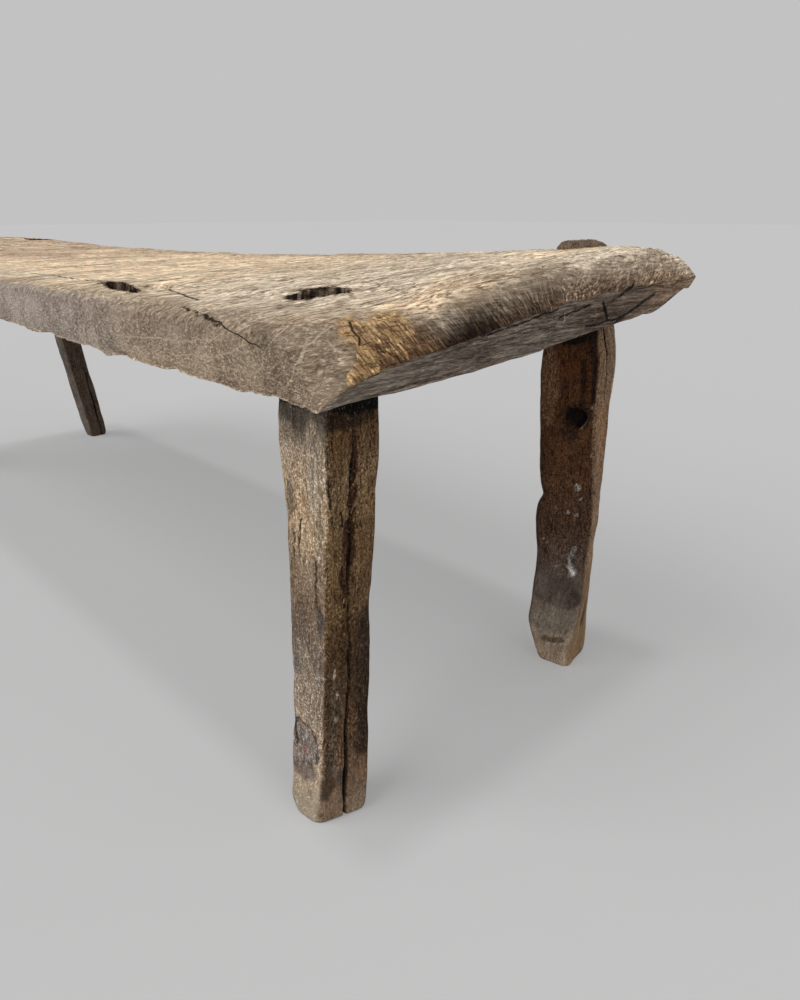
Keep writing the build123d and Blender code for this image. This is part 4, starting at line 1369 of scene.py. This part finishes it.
def paint_leg(shape):
    """Colours of a leg's points, and how far its marks sink them."""
    tables = LEG_COLOURS[shape["name"]]
    height, seed = shape["height"], shape["seed"]
    place = np.stack([shape["along"], shape["across"], height], -1)
    patches = noise_at(place, (26, 26, 60), seed + 41, 3)
    flecks = noise_at(place, (3.2, 3.2, 9.0), seed + 45, 2)
    dapple = noise_at(place, (7, 7, 14), seed + 49, 3)
    drift = 9 * noise_at(place, (20, 20, 30), seed + 53, 2)
    colours = along_height(height + drift, tables["other"])
    for face in ("near", "front"):
        shade = along_height(height + drift, tables[face])
        colours += (shade - colours) * face_share(shape, face, 2.4)[..., None]
    colours *= (1 + 0.16 * patches + 0.10 * flecks + 0.16 * dapple)[..., None]
    sink = np.zeros_like(height)
    calm = 1 - smooth_step(height + 0.5 * drift, *LEGS[shape["name"]]["calm"])
    ragged = 1.1 * noise_at(place, (3.0, 3.0, 5.0), seed + 57, 2)
    for face, kind, places, size, colour, depth in LEG_MARKS[shape["name"]]:
        across = beside_middle(shape, face)
        share = mark_share(kind, height + 1.5 * ragged, across + ragged, places, size)
        share = share * face_share(shape, face, 3.0)
        mottled = np.array(colour) * (1 + 0.30 * flecks + 0.15 * dapple)[..., None]
        colours = paint_over(colours, mottled, share)
        sink = np.maximum(sink, depth * share) if depth >= 0 else sink + depth * share
    end_grain = noise_at(place, (2.2, 2.2, 2.2), seed + 61, 2)
    tenon = np.array(TENON_BROWN) * (1 + 0.30 * dapple + 0.25 * end_grain)[..., None]
    colours = np.where(shape["is_tenon"][..., None], tenon, colours)
    # Painted shade: points in the long split are darkened almost to black, as the shade in its groove.
    colours *= (1 - 0.975 * shape["in_split"])[..., None]
    return np.clip(colours, 0.003, 1), sink, calm


def weather_leg(points, shape, sink):
    """Moves the points of a leg along their normals: long dents and fibres, small dents and the marks."""
    normals = grid_normals(points)
    seed = shape["seed"]
    place = np.stack([shape["along"], shape["across"], shape["height"]], -1)
    fibres = noise_at(place, (4.5, 4.5, 75), seed + 21, 2)
    dents = noise_at(place, (28, 28, 60), seed + 25, 2)
    small = noise_at(place, (8, 8, 14), seed + 29, 2)
    end_grain = noise_at(place, (4, 4, 4), seed + 33, 2)
    relief = 0.33 * fibres + 0.80 * dents + 0.30 * small - sink
    on_cap = shape["keep"] < 0.9
    relief = np.where(on_cap, 0.7 * end_grain * shape["is_tenon"], relief)
    relief = np.where(shape["is_tenon"] & ~on_cap, 0.35 * small + 0.2 * fibres, relief)
    points = points + normals * (relief * MM)[..., None]
    under_foot = (shape["keep"] < 1) & ~shape["is_tenon"]
    points[..., 2] = np.where(under_foot, shape["height"] * MM, points[..., 2])
    return np.clip(points, CAD_LOW, CAD_HIGH)


# %% [markdown]
# The finish of the legs
#
# The fibres of a leg run along it, however it leans, so its grain is worked out from places that lean with
# it: each point carries its place beside the middle line as a second painted layer. Noise drawn out along
# the leg gives the fibres, finer noise the weathered fuzz, and cells the small checks across the grain.


# %% The finish of the legs
def leg_finish(name, contrast):
    """Hewn wood whose fibres run along a leg. More contrast makes the dark lines deeper."""
    finish = Finish(name)
    paint = finish.painted("paint")
    place = finish.painted("own_place")
    broad = finish.noise(finish.scaled(place, (1, 1, 0.10)), 120, 3).step(0.34, 0.66)
    fine = finish.noise(finish.scaled(place, (1, 1, 0.35)), 430, 4, 0.75).step(0.42, 0.58)
    dark = finish.noise(finish.scaled(place, (1, 1, 0.22)), 480, 3, 0.5).step(0.58, 0.66)
    fuzz = finish.noise(finish.scaled(place, (1, 1, 0.70)), 600, 5, 0.80).step(0.44, 0.56)
    checks = finish.noise(finish.scaled(place, (0.5, 0.5, 1.6)), 430, 2, 0.5).step(0.58, 0.66)
    pale = finish.noise(finish.scaled(place, (1, 1, 0.6)), 540, 3, 0.6).step(0.59, 0.66)
    pits = finish.noise(place, 700, 3, 0.6).step(0.60, 0.68)
    grouped = finish.noise(place, 45, 2).step(0.42, 0.58)

    tone = 0.48 + 0.26 * broad + 0.42 * fine + 0.86 * fuzz
    tone = tone * (1 - contrast * dark) * (1 - 0.30 * checks * grouped) * (1 + 0.22 * pale) * (1 - 0.60 * pits)
    calm, shaded, flecked = finish.parts(finish.painted("marks"))
    gain = (1 - 0.68 * calm) * (1 + 0.42 * shaded)
    tone = (1.12 + (tone - 1.12) * gain).math("MAXIMUM", 0.06)
    tinted = finish.mixed(tone.step(0.70, 1.60), (1.08, 0.935, 0.78, 1), finish.mixed(flecked, (0.97, 1.01, 1.05, 1), (0.93, 1.06, 1.20, 1)))
    colour = finish.mixed(1.0, finish.toned(paint, tone), tinted, "MULTIPLY")
    colour = finish.mixed(0.26 * pale * flecked * (1 - calm), colour, (0.50, 0.42, 0.31, 1))
    height = 0.25 * broad + 0.30 * fine + 0.75 * fuzz - 0.6 * dark - 0.4 * checks * grouped - 0.6 * pits
    return finish.finish(colour, 0.86 + 0.08 * fuzz, height, 0.0018)


leg_material = leg_finish("hewn_leg", 0.42)
for name, leg in LEGS.items():
    shape = leg_points(name, leg)
    paint, sink, calm = paint_leg(shape)
    turned_along = shape["along"] * np.cos(shape["turn"]) - shape["across"] * np.sin(shape["turn"])
    turned_across = shape["along"] * np.sin(shape["turn"]) + shape["across"] * np.cos(shape["turn"])
    x = CAD_HIGH[0] + (turned_along - shape["middle"][:, :1]) * MM
    y = CAD_LOW[1] + (turned_across + shape["middle"][:, 1:]) * MM
    rings = weather_leg(np.stack([x, y, shape["height"] * MM], -1), shape, sink)
    own_place = np.stack([shape["along"], shape["across"], shape["height"]], -1) * MM + leg["seed"]
    shaded = np.maximum(face_share(shape, "near", 3.0), 0.8 * (name == "near_back"))
    marks = np.stack([calm, shaded, leg["flecked"] + 0 * calm], -1)
    paints = {"paint": paint, "own_place": own_place, "marks": marks}
    make_piece("leg_piece_" + name, rings, paints, leg_material, "leg_" + name)

# %% [markdown]
# The wedges
#
# Each tenon was slit and spread by a thin oak wedge, driven in with its broad side along the plank's fibres
# so that it couldn't split the plank. Its head is splintered and a little proud of the tenon's end.

# %% Wedges
WEDGE_GREY = (0.33, 0.275, 0.215)
WEDGE_PROUD = 0.0006
WEDGE_POINTS = 72


def wedge_rings(low, high, seed):
    """Rings of a wedge inside a box: a rounded rectangle whose thickness along X grows with height."""
    middle = (low + high) / 2
    half = (high - low) / 2
    share = np.concatenate([[0, 0, 0], np.linspace(0, 1, 22), [1, 1, 1, 1, 1]])
    keep = np.concatenate([[0.04, 0.5, 0.9], np.ones(22), [0.94, 0.7, 0.45, 0.2, 0.04]])
    angle = 2 * np.pi * np.arange(WEDGE_POINTS) / WEDGE_POINTS
    square = (np.abs(np.cos(angle)) ** 6 + np.abs(np.sin(angle)) ** 6) ** (-1 / 6)
    half_thickness = (0.0008 + (half[0] - 0.0008) * share) * keep
    x = middle[0] + (square * np.cos(angle))[None] * half_thickness[:, None]
    y = middle[1] + (square * np.sin(angle))[None] * (half[1] * keep)[:, None]
    z = (low[2] + (high[2] + WEDGE_PROUD - low[2]) * share)[:, None] + 0 * x
    rings = np.stack([x, y, z], -1)
    rough = noise_at(rings, (0.0020, 0.0060, 0.0090), seed, 2)
    rings[..., 2] += 0.0009 * rough * (share > 0.99)[:, None]
    rings[..., 0] += 0.00012 * rough
    return rings


wedge_material = leg_finish("wedge_wood", 0.35)
for count, name in enumerate(LEGS):
    low, high = (np.array(corner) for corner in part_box("wedge_" + name))
    high[2] -= DOME_WEAR * MM * (name == DOMED_LEG)
    rings = wedge_rings(low, high, 500 + count)
    tone = 1 + 0.25 * noise_at(rings, (0.003, 0.008, 0.008), 520 + count, 2)
    paints = {"paint": np.array(WEDGE_GREY) * tone[..., None], "own_place": rings + count}
    make_piece("wedge_piece_" + name, rings, paints, wedge_material, "wedge_" + name)
